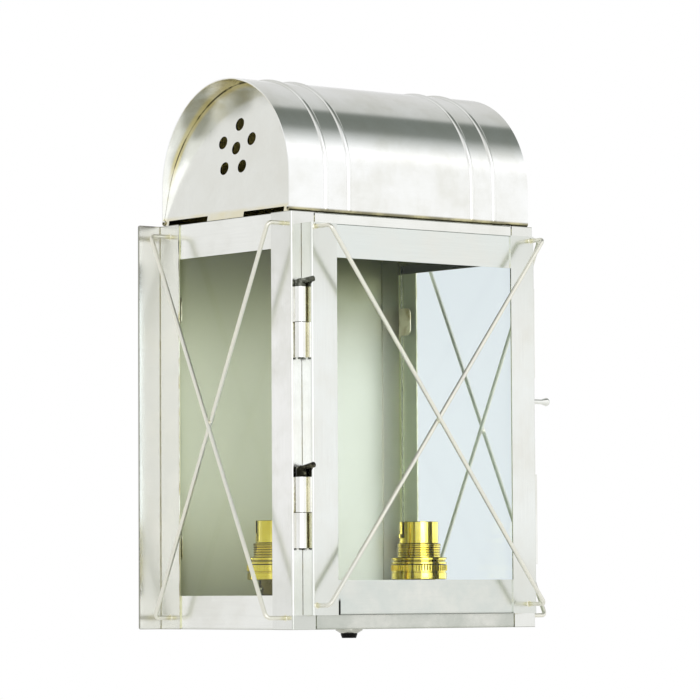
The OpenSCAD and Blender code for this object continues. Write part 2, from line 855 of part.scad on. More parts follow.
module edge_strips() {
    color("gainsboro") on_side(RIGHT) for (low = [true, false])
        translate([door_left - strip_in(low) - strip_t, strip_y, low ? strip_low : strip_high])
            difference() {
                cube([strip_t, spring_w, strip_l]);
                for (k = strip_rivets)
                    translate([-cut, spring_w / 2, k]) rotate([0, 90, 0])
                        cylinder(h = strip_t + 2 * cut, d = rivet_hole_d);
            }
}

module latch_rivets() {
    color("silver") on_side(RIGHT)
        for (low = [true, false], k = strip_rivets) {
            outer = door_left - strip_in(low) - strip_t;
            z = (low ? strip_low : strip_high) + k;
            inner = door_left - outer + sheet_t;
            translate([outer - rivet_head_h, strip_y + spring_w / 2, z]) rotate([0, 90, 0]) {
                cylinder(h = rivet_head_h, d1 = 0.6 * rivet_head_d, d2 = rivet_head_d);
                cylinder(h = inner + 2 * rivet_head_h, d = rivet_d);
                translate([0, 0, rivet_head_h + inner])
                    cylinder(h = rivet_head_h, d1 = rivet_head_d, d2 = 0.7 * rivet_head_d);
            }
        }
}

module latch_spring_foot() {
    color("whitesmoke") on_side(RIGHT) difference() {
        translate([-spring_x - spring_t, strip_y, strip_low])
            cube([spring_t, spring_w, strip_l - fit / 2]);
        rivet_places() translate([-spring_t - 2 * cut, 0, 0]) rotate([0, 90, 0])
            cylinder(h = spring_t + 4 * cut, d = rivet_hole_d);
    }
}

module latch_spring() {
    wide_top = spring_foot_top + spring_wide_l;
    color("whitesmoke") on_side(RIGHT)
        translate([-spring_x - spring_t, 0, 0]) rotate([90, 0, 90]) linear_extrude(spring_t)
            difference() {
                union() {
                    translate([strip_y, spring_foot_top + fit / 2]) square([spring_w, spring_wide_l]);
                    translate([latch_y - tongue_w / 2, wide_top - cut])
                        square([tongue_w, knob_z - wide_top + cut]);
                    translate([latch_y, knob_z]) circle(d = tongue_w);
                }
                translate([latch_y, knob_z]) circle(d = nib_d);
            }
}

// A turned knob, with its nib through the spring
module latch_knob() {
    collar_d = stem_d + 2;
    flare = 0.62 * knob_l;
    full = 0.87 * knob_l;
    dome = knob_l - full;
    color("whitesmoke") translate([spring_x, latch_y, knob_z]) rotate([0, 90, 0]) rotate_extrude()
        polygon(concat(
            [[0, -nib_l], [nib_d / 2 - 0.4, -nib_l], [nib_d / 2, -nib_l + 0.6], [nib_d / 2, spring_t]],
            [[collar_d / 2, spring_t], [collar_d / 2, spring_t + 0.8], [stem_d / 2, spring_t + 1]],
            [[stem_d / 2, flare], [knob_d / 2, full]],
            [for (a = [15 : 15 : 75]) [knob_d / 2 * cos(a), full + dome * sin(a)]],
            [[0, knob_l]]
        ));
}

// A bent keeper on the right front post. Its slot takes the nib and is open to the front,
// so that the door swings clear of it
module latch_keeper() {
    slot = nib_d + 2 * nib_gap;
    x0 = spring_x - nib_l + nib_hold;
    h = slot + 2 * keeper_end;
    depth = latch_out + nib_d / 2 + keeper_front;
    color("gainsboro") difference() {
        union() {
            translate([x0, front_y - depth, knob_z - h / 2]) cube([keeper_t, depth, h]);
            translate([x0 - keeper_foot, front_y - keeper_t, knob_z - h / 2])
                cube([keeper_foot, keeper_t, h]);
        }
        translate([x0 - cut, front_y - depth - cut, knob_z - slot / 2])
            cube([keeper_t + 2 * cut, depth + cut - latch_out + slot / 2, slot]);
    }
}

// Lampholders

module at_lamp(side) {
    turn = side == LEFT ? lamp_turn_left : lamp_turn_right;
    translate([side * lamp_pitch / 2, lamp_y, 0]) rotate([0, 0, turn]) children();
}

module lamp_bracket() {
    color("silver") difference() {
        translate([0, lamp_y + bracket_w / 2, floor_z]) along_y(bracket_w) {
            translate([-bracket_l / 2, bracket_h - sheet_t]) square([bracket_l, sheet_t]);
            for (s = [-1, 1]) {
                translate([s * (bracket_l / 2 - sheet_t / 2) - sheet_t / 2, 0]) square([sheet_t, bracket_h]);
                translate([s * (bracket_l / 2 + bracket_foot / 2) - bracket_foot / 2, 0])
                    square([bracket_foot, sheet_t]);
            }
        }
        for (side = [LEFT, RIGHT]) at_lamp(side) translate([0, 0, floor_z])
            cylinder(h = bracket_h + cut, d = nipple_d + 0.2);
        bracket_rivet_places() translate([0, 0, floor_z - cut])
            cylinder(h = sheet_t + 2 * cut, d = rivet_hole_d);
    }
}

module bracket_rivets() {
    color("silver") bracket_rivet_places() {
        translate([0, 0, floor_z - sheet_t]) cylinder(h = 2 * sheet_t, d = rivet_d);
        translate([0, 0, floor_z + sheet_t])
            cylinder(h = rivet_head_h, d1 = rivet_head_d, d2 = 0.7 * rivet_head_d);
    }
}

module nipple(side) {
    color("goldenrod") at_lamp(side) translate([0, 0, nipple_bottom])
        tube(cap_bottom + cap_wall - nipple_bottom, nipple_d, nipple_bore);
}

module nipple_nuts() {
    color("goldenrod") for (side = [LEFT, RIGHT], z = [bracket_z, bracket_z - sheet_t - nut_h])
        at_lamp(side) translate([0, 0, z]) hex_nut(nut_h, nut_af, nipple_d + 2 * thread_clear);
}

// The stepped base and the wide knurled cup above it, in one turned piece
module lamp_cap(side) {
    bore = nipple_d / 2 + thread_clear;
    cup = thread_d / 2 + 0.2;
    r = ring_d / 2;
    groove_r = r - 0.5;
    groove_z = cap_bottom + rim_h;
    neck_bottom = cap_bottom - base_h - neck_h;
    color("darkkhaki") at_lamp(side) rotate_extrude() polygon([
        [bore, nut_top], [neck_r, nut_top], [neck_r, base_bottom], [foot_r, base_bottom],
        [foot_r, neck_bottom], [neck_r, neck_bottom], [neck_r, cap_bottom - base_h],
        [shoulder_r, cap_bottom - base_h], [shoulder_r, cap_bottom],
        [groove_r, cap_bottom], [r, cap_bottom + 0.5], [r, groove_z], [groove_r, groove_z + 0.3],
        [groove_r, groove_z + 1], [r, groove_z + 1.3], [r, cap_top - 0.3], [r - 0.3, cap_top],
        [cup, cap_top], [cup, cap_bottom + cap_wall], [bore, cap_bottom + cap_wall]
    ]);
}

module insulator(side) {
    bottom = insulator_top - insulator_h;
    r = thread_d / 2 - 1.3;
    color("ivory") at_lamp(side) difference() {
        translate([0, 0, bottom]) cylinder(h = insulator_h, r = r);
        for (s = [-1, 1]) translate([0, s * plunger_pitch / 2, 0]) {
            translate([0, 0, insulator_top - well_h])
                cylinder(h = well_h + cut, d = plunger_d + 2 * plunger_clear);
            translate([0, 0, bottom - cut]) cylinder(h = lead_hole_h + cut, d = lead_d + 2 * fit);
        }
    }
}

// Pressed barrel: a smooth bore for the lamp cap above, and a threaded skirt below. A lamp
// turns clockwise, seen from above, into the J slots' seats.
module barrel(side) {
    bottom = cap_bottom + 2.2;
    skirt_bore = thread_d - 2.4;
    threads = floor((skirt_top - ring_top - 1) / thread_pitch);
    leg_z = lamp_top - jslot_h;
    relief = socket_d / 2 + 0.5;
    seat_z = insulator_top + plunger_up + 0.4;
    color("darkkhaki") at_lamp(side) difference() {
        rotate_extrude() polygon(concat(
            [[skirt_bore / 2, bottom], [thread_d / 2, bottom], [thread_d / 2, ring_top]],
            [for (k = [0 : threads - 1], p = [0 : 3])
                [thread_d / 2 - (p == 1 || p == 2 ? thread_cut : 0),
                 ring_top + 0.9 + thread_pitch * (k + p / 4)]],
            [[thread_d / 2, skirt_top - 0.4], [thread_d / 2 - 0.4, skirt_top], [barrel_d / 2, skirt_top]],
            [[barrel_d / 2, lamp_top - 0.3], [barrel_d / 2 - 0.3, lamp_top], [socket_d / 2, lamp_top]],
            [[socket_d / 2, seat_z], [relief, seat_z], [relief, insulator_top + 0.2]],
            [[skirt_bore / 2, insulator_top + 0.2]]
        ));
        for (turn = [0, 180]) rotate([0, 0, turn]) {
            translate([socket_d / 2 - 1, -jslot_w / 2, leg_z]) cube([4, jslot_w, jslot_h + cut]);
            translate([0, 0, leg_z]) rotate_extrude(angle = -jslot_arc)
                translate([socket_d / 2 - 1, 0]) square([4, jslot_w]);
            rotate([0, 0, -jslot_arc])
                translate([socket_d / 2 - 1, -jslot_w / 2, leg_z]) cube([4, jslot_w, jslot_seat_h]);
        }
    }
}

// The two threaded rings that would hold a shade
module shade_rings(side) {
    bore = thread_d / 2 + 0.08;
    r = ring_d / 2;
    color("darkkhaki") at_lamp(side) {
        translate([0, 0, ring_top - upper_ring_h]) rotate_extrude() polygon([
            [bore, 0], [r - waist_in, 0], [r - waist_in, upper_ring_h - flange_t],
            [r, upper_ring_h - flange_t + 0.2], [r, upper_ring_h - 0.3],
            [r - 0.3, upper_ring_h], [bore, upper_ring_h]
        ]);
        translate([0, 0, cap_top + ring_seam]) rotate_extrude() polygon([
            [bore, 0], [r - 0.2, 0], [r, 0.2], [r, lower_ring_h - 0.2],
            [r - 0.2, lower_ring_h], [bore, lower_ring_h]
        ]);
    }
}

module plunger(side, end) {
    tip = insulator_top + plunger_up;
    color("darkkhaki") at_lamp(side) translate([0, end * plunger_pitch / 2, tip - plunger_l])
        rotate_extrude() polygon(concat(
            [[0, 0], [plunger_d / 2, 0], [plunger_d / 2, plunger_l - plunger_round]],
            [for (a = [15 : 15 : 75])
                [plunger_d / 2 - plunger_round * (1 - cos(a)), plunger_l - plunger_round * (1 - sin(a))]],
            [[0, plunger_l]]
        ));
}

// Gland, block, earth and leads

module gland_flange() {
    r = gland_thread_d / 2 + 2 * thread_clear;
    color("gray") translate([0, lamp_y, bottom_z]) rotate_extrude() polygon([
        [r, -gland_flange_down], [gland_flange_low_d / 2, -gland_flange_down],
        [gland_flange_d / 2, -gland_rim_h], [gland_flange_d / 2, sheet_t], [r, sheet_t]
    ]);
}

module gland_body() {
    flange_z = bottom_z - gland_flange_down;
    low = flange_z - gland_down;
    high = floor_z + gland_nut_h + 1;
    color("black") translate([0, lamp_y, 0]) rotate_extrude() polygon([
        [gland_bore / 2, low], [gland_low_d / 2, low], [gland_d / 2, flange_z - gland_down / 4],
        [gland_d / 2, flange_z], [gland_thread_d / 2, flange_z], [gland_thread_d / 2, high],
        [gland_bore / 2, high]
    ]);
}

module gland_nut() {
    color("black") translate([0, lamp_y, floor_z])
        hex_nut(gland_nut_h, gland_nut_af, gland_thread_d + 2 * thread_clear);
}

module terminal_block() {
    pitch = block_l / 3;
    color("ivory") difference() {
        translate([block_x - block_w / 2, lamp_y - block_l / 2, floor_z]) cube([block_w, block_l, block_h]);
        for (k = [-1, 0, 1]) translate([block_x, lamp_y + k * pitch, 0]) {
            translate([-block_w / 2 - cut, 0, floor_z + lead_rise]) rotate([0, 90, 0])
                cylinder(h = block_w + 2 * cut, d = lead_d + 0.4);
            for (s = [-1, 1]) translate([s * block_w / 4, 0, floor_z + block_h / 2])
                cylinder(h = block_h, d = block_w / 4);
        }
    }
}

module earth_stud() {
    color("goldenrod") translate([earth_x, lamp_y, floor_z]) {
        cylinder(h = earth_h, d = earth_d);
        cylinder(h = earth_nut_h, d = earth_nut_af / cos(30), $fn = 6);
    }
}

// A round lead swept along a list of points
module lead(path, sides = 8) {
    n = len(path);
    tangents = [for (i = [0 : n - 1]) unit(path[min(i + 1, n - 1)] - path[max(i - 1, 0)])];
    points = [for (i = [0 : n - 1], k = [0 : sides - 1])
        let (u = unit(cross(tangents[i], [0, 1, 0])), v = cross(tangents[i], u), a = 360 * k / sides)
            path[i] + lead_d / 2 * (u * cos(a) + v * sin(a))];
    rings = [for (i = [0 : n - 2], k = [0 : sides - 1])
        [i * sides + k, i * sides + (k + 1) % sides, (i + 1) * sides + (k + 1) % sides, (i + 1) * sides + k]];
    caps = [[for (k = [sides - 1 : -1 : 0]) k], [for (k = [0 : sides - 1]) (n - 1) * sides + k]];
    polyhedron(points, concat(rings, caps), convexity = 4);
}

// Distance at which the leads pass the gland's nut, or the earth stud
function lead_clear(side) =
    lead_d + (side == LEFT ? gland_nut_af / 2 / cos(30) : earth_nut_af / 2 / cos(30) + lead_d / 2);

// Route of one lead from the block's side to inside a nipple
function lead_route(side, way) =
    let (z = floor_z + lead_rise, pitch = way * block_l / 3, away = way * lead_clear(side),
         inside = way * (lead_d / 2 + fit), start_x = block_x + side * (block_w / 2 - lead_d),
         end_x = side * lamp_pitch / 2, near_x = end_x - side * (lead_bend + fit),
         far_x = near_x - side * 3 * lead_d)
    concat(
        [[start_x, pitch, z]],
        [for (t = [0 : 0.25 : 1])
            [start_x + side * lead_d * (1.4 + 2.8 * t), pitch + (away - pitch) * smooth(t), z]],
        [for (t = [0 : 0.25 : 1])
            [far_x + (near_x - far_x) * t, away + (inside - away) * smooth(t), z]],
        [for (a = [0 : 22.5 : 90])
            [end_x - side * lead_bend * (1 - sin(a)), inside, z + lead_bend * (1 - cos(a))]],
        [[end_x, inside, insulator_top - insulator_h - fit]]
    );

module leads() {
    z = floor_z + lead_rise;
    stud_z = floor_z + earth_nut_h + lead_d / 2;
    color("saddlebrown") for (side = [LEFT, RIGHT], way = [-1, 1])
        translate([0, lamp_y, 0]) lead(lead_route(side, way));
    color("limegreen") translate([0, lamp_y, 0])
        lead([[block_x + block_w / 4, 0, z], [block_x + block_w / 2, 0, z],
              [(block_x + block_w / 2 + earth_x - earth_d) / 2, 0, (z + stud_z) / 2],
              [earth_x - earth_d, 0, stud_z], [earth_x - earth_d / 2, 0, stud_z]]);
}

backplate();
post_front(LEFT);  // post_front_left
post_front(RIGHT);  // post_front_right
post_rear(LEFT);  // post_rear_left
post_rear(RIGHT);  // post_rear_right
rail_top(LEFT);  // rail_top_left
rail_top(RIGHT);  // rail_top_right
rail_bottom(LEFT);  // rail_bottom_left
rail_bottom(RIGHT);  // rail_bottom_right
header();
sill();
floor_plate();
roof();
gable(LEFT);  // gable_left
gable(RIGHT);  // gable_right
pane(LEFT);  // pane_left
pane(RIGHT);  // pane_right
pane_clips();
side_guard(LEFT);  // guard_left
side_guard(RIGHT);  // guard_right
hinge_body_halves();
latch_keeper();
door_stile(LEFT);  // door_stile_left
door_stile(RIGHT);  // door_stile_right
door_rail_top();
door_rail_bottom();
door_pane();
door_clips();
door_guard();
hinge_door_halves();
hinge_pin(hinge_high, upper_collar_h, upper_head_rise);  // hinge_pin_upper
hinge_pin(hinge_low, lower_collar_h, lower_head_rise);  // hinge_pin_lower
edge_strips();
latch_rivets();
latch_spring_foot();
latch_spring();
latch_knob();
lamp_bracket();
bracket_rivets();
nipple(LEFT);  // nipple_left
nipple(RIGHT);  // nipple_right
nipple_nuts();
lamp_cap(LEFT);  // lamp_cap_left
lamp_cap(RIGHT);  // lamp_cap_right
insulator(LEFT);  // insulator_left
insulator(RIGHT);  // insulator_right
barrel(LEFT);  // barrel_left
barrel(RIGHT);  // barrel_right
shade_rings(LEFT);  // shade_rings_left
shade_rings(RIGHT);  // shade_rings_right
plunger(LEFT, -1);  // plunger_left_a
plunger(LEFT, 1);  // plunger_left_b
plunger(RIGHT, -1);  // plunger_right_a
plunger(RIGHT, 1);  // plunger_right_b
gland_flange();
gland_body();
gland_nut();
terminal_block();
earth_stud();
leads();
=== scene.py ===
# Looks of the wall lantern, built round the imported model. Everything is in metres, in the
# model's own frame: +Z is up, -Y is the front, the origin is the middle of the wall
# plate's rear face. The sections follow the lantern as it is put together.
import math

import bmesh
import bpy
from mathutils import Matrix, Vector


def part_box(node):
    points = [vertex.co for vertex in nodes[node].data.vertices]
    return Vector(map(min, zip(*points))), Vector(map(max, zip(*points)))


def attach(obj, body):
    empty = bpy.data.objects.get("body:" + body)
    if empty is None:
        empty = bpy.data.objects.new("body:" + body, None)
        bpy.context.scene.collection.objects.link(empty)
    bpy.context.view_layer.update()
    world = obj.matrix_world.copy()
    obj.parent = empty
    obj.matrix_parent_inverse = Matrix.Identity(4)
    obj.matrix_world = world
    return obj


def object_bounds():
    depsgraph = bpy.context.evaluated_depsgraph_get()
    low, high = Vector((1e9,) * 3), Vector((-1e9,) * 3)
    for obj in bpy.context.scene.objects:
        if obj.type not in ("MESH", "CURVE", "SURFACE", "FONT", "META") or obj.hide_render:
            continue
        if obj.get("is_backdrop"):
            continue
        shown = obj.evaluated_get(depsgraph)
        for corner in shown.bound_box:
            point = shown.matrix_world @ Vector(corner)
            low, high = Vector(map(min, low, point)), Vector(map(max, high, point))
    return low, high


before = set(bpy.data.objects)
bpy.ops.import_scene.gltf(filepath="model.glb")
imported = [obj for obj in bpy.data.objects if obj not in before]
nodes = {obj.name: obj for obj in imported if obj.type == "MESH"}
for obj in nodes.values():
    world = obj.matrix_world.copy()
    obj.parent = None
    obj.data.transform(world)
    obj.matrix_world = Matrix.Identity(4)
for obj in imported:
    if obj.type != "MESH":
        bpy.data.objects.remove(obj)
cad_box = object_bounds()

# Wall plate, posts, rails, header and sill
# Thin sheet brass, cut and folded by hand, soldered, then silver plated and buffed with a
# soft wheel: pale satin metal, with straw coloured tarnish where pieces meet, and painted
# shade in the deepest corners.


def linear(code):
    """A colour written as sRGB hex, as the linear values that a shader takes."""
    parts = [int(code[i : i + 2], 16) / 255 for i in (0, 2, 4)]
    return [p / 12.92 if p <= 0.04045 else ((p + 0.055) / 1.055) ** 2.4 for p in parts] + [1.0]


def add_node(tree, kind, settings=None, links=None):
    """A node with its settings. Its inputs take values, sockets, or nodes, and a node gives
    the first of its outputs that is in use."""
    node = tree.nodes.new(kind)
    for key, value in (settings or {}).items():
        setattr(node, key, value)
    for key, value in (links or {}).items():
        if isinstance(value, bpy.types.Node):
            value = next(out for out in value.outputs if out.enabled)
        if isinstance(value, bpy.types.NodeSocket):
            tree.links.new(value, node.inputs[key])
        else:
            node.inputs[key].default_value = value
    return node


def new_material(name, **values):
    """A named material, its tree, its shader and its Object coordinates."""
    material = bpy.data.materials.new(name)
    material.use_nodes = True
    shader = material.node_tree.nodes["Principled BSDF"]
    for key, value in values.items():
        shader.inputs[key.replace("_", " ")].default_value = value
    place = add_node(material.node_tree, "ShaderNodeTexCoord").outputs["Object"]
    return material, material.node_tree, shader, place


COLOURS = {"data_type": "RGBA"}
SMOOTH = {"interpolation_type": "SMOOTHSTEP"}
SEEDED = {"noise_dimensions": "4D"}
PLATE_CLEAN = linear("F3F4F0")
PLATE_DULL = linear("E6E6DF")
PLATE_STRAW = linear("D9D3A6")
PLATE_OLIVE = linear("857D4C")
# Painted shade for the deepest corners and gaps.
PLATE_SHADE = linear("2B2716")
PLATE_ENDS = linear("CDD0C8")
PLATE_INSIDE = linear("E8EADC")
PLATE_HIDDEN = linear("BFC1A0")
PLATE_TOP = linear("6E7136")
ALONG_X = (30, 1400, 1400)
ALONG_Y = (1400, 30, 1400)
ALONG_Z = (1400, 1400, 30)
BODY_SIDE = 0.0990
BODY_FRONT = -0.1380
HALF_SHEET = 0.0005
BODY_REAR = -0.0010
BODY_END = 0.1292


def inside_body(tree, place, lap=-HALF_SHEET):
    """1 on what lies inside the body's four walls, and 0 on its outside. The posts lie one
    sheet further out than the rails, and lap tells them apart."""
    parts = add_node(tree, "ShaderNodeSeparateXYZ", None, {0: place}).outputs
    side = add_node(tree, "ShaderNodeMath", {"operation": "ABSOLUTE"}, {0: parts["X"]})
    end = add_node(tree, "ShaderNodeMath", {"operation": "ABSOLUTE"}, {0: parts["Z"]})
    limits = (
        ("LESS_THAN", side, BODY_SIDE + lap),
        ("GREATER_THAN", parts["Y"], BODY_FRONT - lap),
        ("LESS_THAN", parts["Y"], BODY_REAR),
        ("LESS_THAN", end, BODY_END),
    )
    within = 1.0
    for operation, value, limit in limits:
        test = add_node(tree, "ShaderNodeMath", {"operation": operation}, {0: value, 1: limit})
        within = add_node(tree, "ShaderNodeMath", {"operation": "MULTIPLY"}, {0: test, 1: within})
    return within


def plated_sheet(
    name,
    seed,
    buffed=ALONG_Z,
    roughness=0.2,
    wave=0.00018,
    clean=PLATE_CLEAN,
    inside=PLATE_INSIDE,
    ends=0.0,
    grain=0.6,
    tarnish=1.0,
    lap=-HALF_SHEET,
):
    """Silver plated sheet brass, buffed in one direction. The real buffing lines are about
    0.1 mm apart and are drawn 0.7 mm apart, so that they show. The sheet waves by about
    0.2 mm over 60 mm. Straw coloured tarnish gathers within 2 mm of its inner corners, here
    more and there less, and the deepest corners are painted near black as shade. Its inside,
    which no cloth reaches, is rougher, duller and warmer, and is painted darker olive towards
    the top. ends dulls the ends of upright strips, where the buff stops short; grain and
    tarnish set how strong those marks are."""
    material, tree, shader, place = new_material(name, Metallic=1.0)
    stretched = add_node(tree, "ShaderNodeMapping", None, {"Vector": place, "Scale": buffed})
    lines = add_node(
        tree,
        "ShaderNodeTexNoise",
        SEEDED,
        {"Vector": stretched, "W": seed, "Scale": 1.0, "Detail": 3.0, "Roughness": 0.6},
    )
    clouds = add_node(
        tree,
        "ShaderNodeTexNoise",
        SEEDED,
        {"Vector": place, "W": seed + 7, "Scale": 26.0, "Detail": 5.0, "Roughness": 0.6},
    )
    spots = add_node(
        tree,
        "ShaderNodeTexNoise",
        SEEDED,
        {"Vector": place, "W": seed + 13, "Scale": 110.0, "Detail": 4.0, "Roughness": 0.6},
    )
    waves = add_node(
        tree, "ShaderNodeTexNoise", SEEDED, {"Vector": place, "W": seed + 21, "Scale": 16.0, "Detail": 1.0}
    )
    corner = add_node(tree, "ShaderNodeAmbientOcclusion", {"samples": 8}, {"Distance": 0.002})
    shut = add_node(
        tree, "ShaderNodeMath", {"operation": "SUBTRACT"}, {0: 1.0, 1: corner.outputs["AO"]}
    )
    uneven = add_node(
        tree, "ShaderNodeMapRange", SMOOTH, {0: spots, 1: 0.38, 2: 0.66, 3: -0.32, 4: 0.14}
    )
    body = inside_body(tree, place, lap)
    outside = add_node(tree, "ShaderNodeMath", {"operation": "SUBTRACT"}, {0: 1.0, 1: body})
    shut = add_node(
        tree, "ShaderNodeMath", {"operation": "MULTIPLY_ADD"}, {0: uneven, 1: outside, 2: shut}
    )
    open_share = add_node(tree, "ShaderNodeMapRange", None, {0: body, 3: 1.0, 4: 0.45})
    shut = add_node(tree, "ShaderNodeMath", {"operation": "MULTIPLY"}, {0: shut, 1: open_share})
    dulled = add_node(tree, "ShaderNodeMapRange", SMOOTH, {0: clouds, 1: 0.35, 2: 0.8})
    colour = add_node(tree, "ShaderNodeMix", COLOURS, {0: dulled, 6: clean, 7: PLATE_DULL})
    height = add_node(tree, "ShaderNodeSeparateXYZ", None, {0: place}).outputs["Z"]
    far = add_node(tree, "ShaderNodeMath", {"operation": "ABSOLUTE"}, {0: height})
    short = add_node(tree, "ShaderNodeMapRange", SMOOTH, {0: far, 1: 0.05, 2: 0.125, 4: ends})
    colour = add_node(tree, "ShaderNodeMix", COLOURS, {0: short, 6: colour, 7: PLATE_ENDS})
    patchy = add_node(
        tree, "ShaderNodeMapRange", SMOOTH, {0: clouds, 1: 0.2, 2: 0.7, 3: 0.92, 4: 1.0}
    )
    within = add_node(
        tree,
        "ShaderNodeMath",
        {"operation": "MULTIPLY"},
        {0: body, 1: patchy},
    )
    # Inside, the colour is painted darker olive towards the top.
    darker_up = add_node(
        tree, "ShaderNodeMapRange", SMOOTH, {0: height, 1: 0.02, 2: 0.12, 3: 0.0, 4: 0.94}
    )
    inside_tone = add_node(tree, "ShaderNodeMix", COLOURS, {0: darker_up, 6: inside, 7: PLATE_TOP})
    colour = add_node(tree, "ShaderNodeMix", COLOURS, {0: within, 6: colour, 7: inside_tone})
    # Straw and olive are tarnish in the corners; the last stage paints the deepest corners near black as
    # shade.
    for low, high, most, stain in (
        (0.32, 0.6, 0.6, PLATE_STRAW),
        (0.56, 0.9, 0.5, PLATE_OLIVE),
        (0.9, 1.1, 0.6, PLATE_SHADE),
    ):
        share = add_node(
            tree, "ShaderNodeMapRange", SMOOTH, {0: shut, 1: low, 2: high, 4: most * tarnish}
        )
        colour = add_node(tree, "ShaderNodeMix", COLOURS, {0: share, 6: colour, 7: stain})
    fine = add_node(tree, "ShaderNodeMapRange", SMOOTH, {0: lines, 1: 0.35, 2: 0.75, 4: 0.08 * grain})
    colour = add_node(tree, "ShaderNodeMix", COLOURS, {0: fine, 6: colour, 7: linear("9A9B94")})
    tree.links.new(colour.outputs[2], shader.inputs["Base Color"])
    rough = add_node(
        tree, "ShaderNodeMapRange", SMOOTH, {0: shut, 1: 0.3, 2: 0.8, 3: roughness, 4: roughness + 0.12}
    )
    cloudy = add_node(
        tree, "ShaderNodeMapRange", None, {0: clouds, 1: 0.2, 2: 0.8, 3: -0.03, 4: 0.03}
    )
    rough = add_node(tree, "ShaderNodeMath", {"operation": "ADD"}, {0: rough, 1: cloudy})
    rough = add_node(
        tree, "ShaderNodeMath", {"operation": "MULTIPLY_ADD"}, {0: body, 1: 0.2, 2: rough}
    )
    tree.links.new(rough.outputs[0], shader.inputs["Roughness"])
    soft = add_node(tree, "ShaderNodeBump", None, {"Height": waves, "Distance": wave})
    brushed = add_node(
        tree, "ShaderNodeBump", None, {"Height": lines, "Distance": 0.000004 * grain, "Normal": soft}
    )
    tree.links.new(brushed.outputs[0], shader.inputs["Normal"])
    return material


def dress(material, *names):
    """Gives CAD nodes their finish."""
    for name in names:
        nodes[name].data.materials.clear()
        nodes[name].data.materials.append(material)


def grey_edge_lines(material, half_width=1.0):
    """A sheet's cut edges at the top, bottom and sides of the body, painted as a dull grey
    line."""
    tree = material.node_tree
    shader = tree.nodes["Principled BSDF"]
    place = next(n for n in tree.nodes if n.type == "TEX_COORD").outputs["Object"]
    parts = add_node(tree, "ShaderNodeSeparateXYZ", None, {0: place}).outputs
    edge = 0.0
    for part, half in ((parts["X"], half_width), (parts["Z"], BODY_END + 0.0008)):
        out = add_node(tree, "ShaderNodeMath", {"operation": "ABSOLUTE"}, {0: part})
        near = add_node(
            tree, "ShaderNodeMapRange", SMOOTH, {0: out, 1: half - 0.0006, 2: half - 0.0001, 4: 0.8}
        )
        edge = add_node(tree, "ShaderNodeMath", {"operation": "MAXIMUM"}, {0: near, 1: edge})
    plated = shader.inputs["Base Color"].links[0].from_socket
    whole = add_node(tree, "ShaderNodeMix", COLOURS, {0: edge, 6: plated, 7: linear("8B8C80")})
    tree.links.new(whole.outputs[2], shader.inputs["Base Color"])
    return material


def olive_low_left(material):
    """Adds an olive tint on the wall plate's inside, low down and to the left."""
    tree = material.node_tree
    shader = tree.nodes["Principled BSDF"]
    place = next(n for n in tree.nodes if n.type == "TEX_COORD").outputs["Object"]
    parts = add_node(tree, "ShaderNodeSeparateXYZ", None, {0: place}).outputs
    # Painted olive tint, low down and to the left on the inside.
    low = add_node(
        tree, "ShaderNodeMapRange", SMOOTH, {0: parts["Z"], 1: -0.13, 2: -0.01, 3: 0.85, 4: 0.65}
    )
    left = add_node(
        tree, "ShaderNodeMapRange", SMOOTH, {0: parts["X"], 1: -0.01, 2: 0.04, 3: 1.0, 4: 0.12}
    )
    share = add_node(tree, "ShaderNodeMath", {"operation": "MULTIPLY"}, {0: low, 1: left})
    body = inside_body(tree, place)
    share = add_node(tree, "ShaderNodeMath", {"operation": "MULTIPLY"}, {0: share, 1: body})
    plated = shader.inputs["Base Color"].links[0].from_socket
    whole = add_node(tree, "ShaderNodeMix", COLOURS, {0: share, 6: plated, 7: linear("A9AB82")})
    tree.links.new(whole.outputs[2], shader.inputs["Base Color"])
    return material


wall_plate = plated_sheet(
    "plated_sheet_wall_plate", 1, ALONG_X, 0.24, clean=linear("E6E6E2"), tarnish=0.6
)
dress(olive_low_left(grey_edge_lines(wall_plate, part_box("backplate")[1].x)), "backplate")


def dark_seam(material):
    """Adds the stain on the rear posts' cut front edges, where each laps over the rails:
    olive brown tarnish, broken, and towards the top painted nearly black as shade."""
    tree = material.node_tree
    shader = tree.nodes["Principled BSDF"]
    place = next(n for n in tree.nodes if n.type == "TEX_COORD").outputs["Object"]
    parts = add_node(tree, "ShaderNodeSeparateXYZ", None, {0: place}).outputs
    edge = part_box("post_rear_left")[0].y
    near = add_node(
        tree,
        "ShaderNodeMapRange",
        SMOOTH,
        {0: parts["Y"], 1: edge + 0.0002, 2: edge + 0.0007, 3: 1.0, 4: 0.0},
    )
    stains = add_node(
        tree, "ShaderNodeTexNoise", None, {"Vector": place, "Scale": 90.0, "Detail": 4.0}
    )
    broken = add_node(
        tree, "ShaderNodeMapRange", SMOOTH, {0: stains, 1: 0.4, 2: 0.66, 3: 0.15, 4: 0.9}
    )
    share = add_node(tree, "ShaderNodeMath", {"operation": "MULTIPLY"}, {0: near, 1: broken})
    # Towards the top the stain turns to painted shade.
    high = add_node(tree, "ShaderNodeMapRange", SMOOTH, {0: parts["Z"], 1: 0.085, 2: 0.115})
    stain = add_node(tree, "ShaderNodeMix", COLOURS, {0: high, 6: linear("B3AA78"), 7: PLATE_SHADE})
    plated = shader.inputs["Base Color"].links[0].from_socket
    whole = add_node(tree, "ShaderNodeMix", COLOURS, {0: share, 6: plated, 7: stain})
    tree.links.new(whole.outputs[2], shader.inputs["Base Color"])
    return material


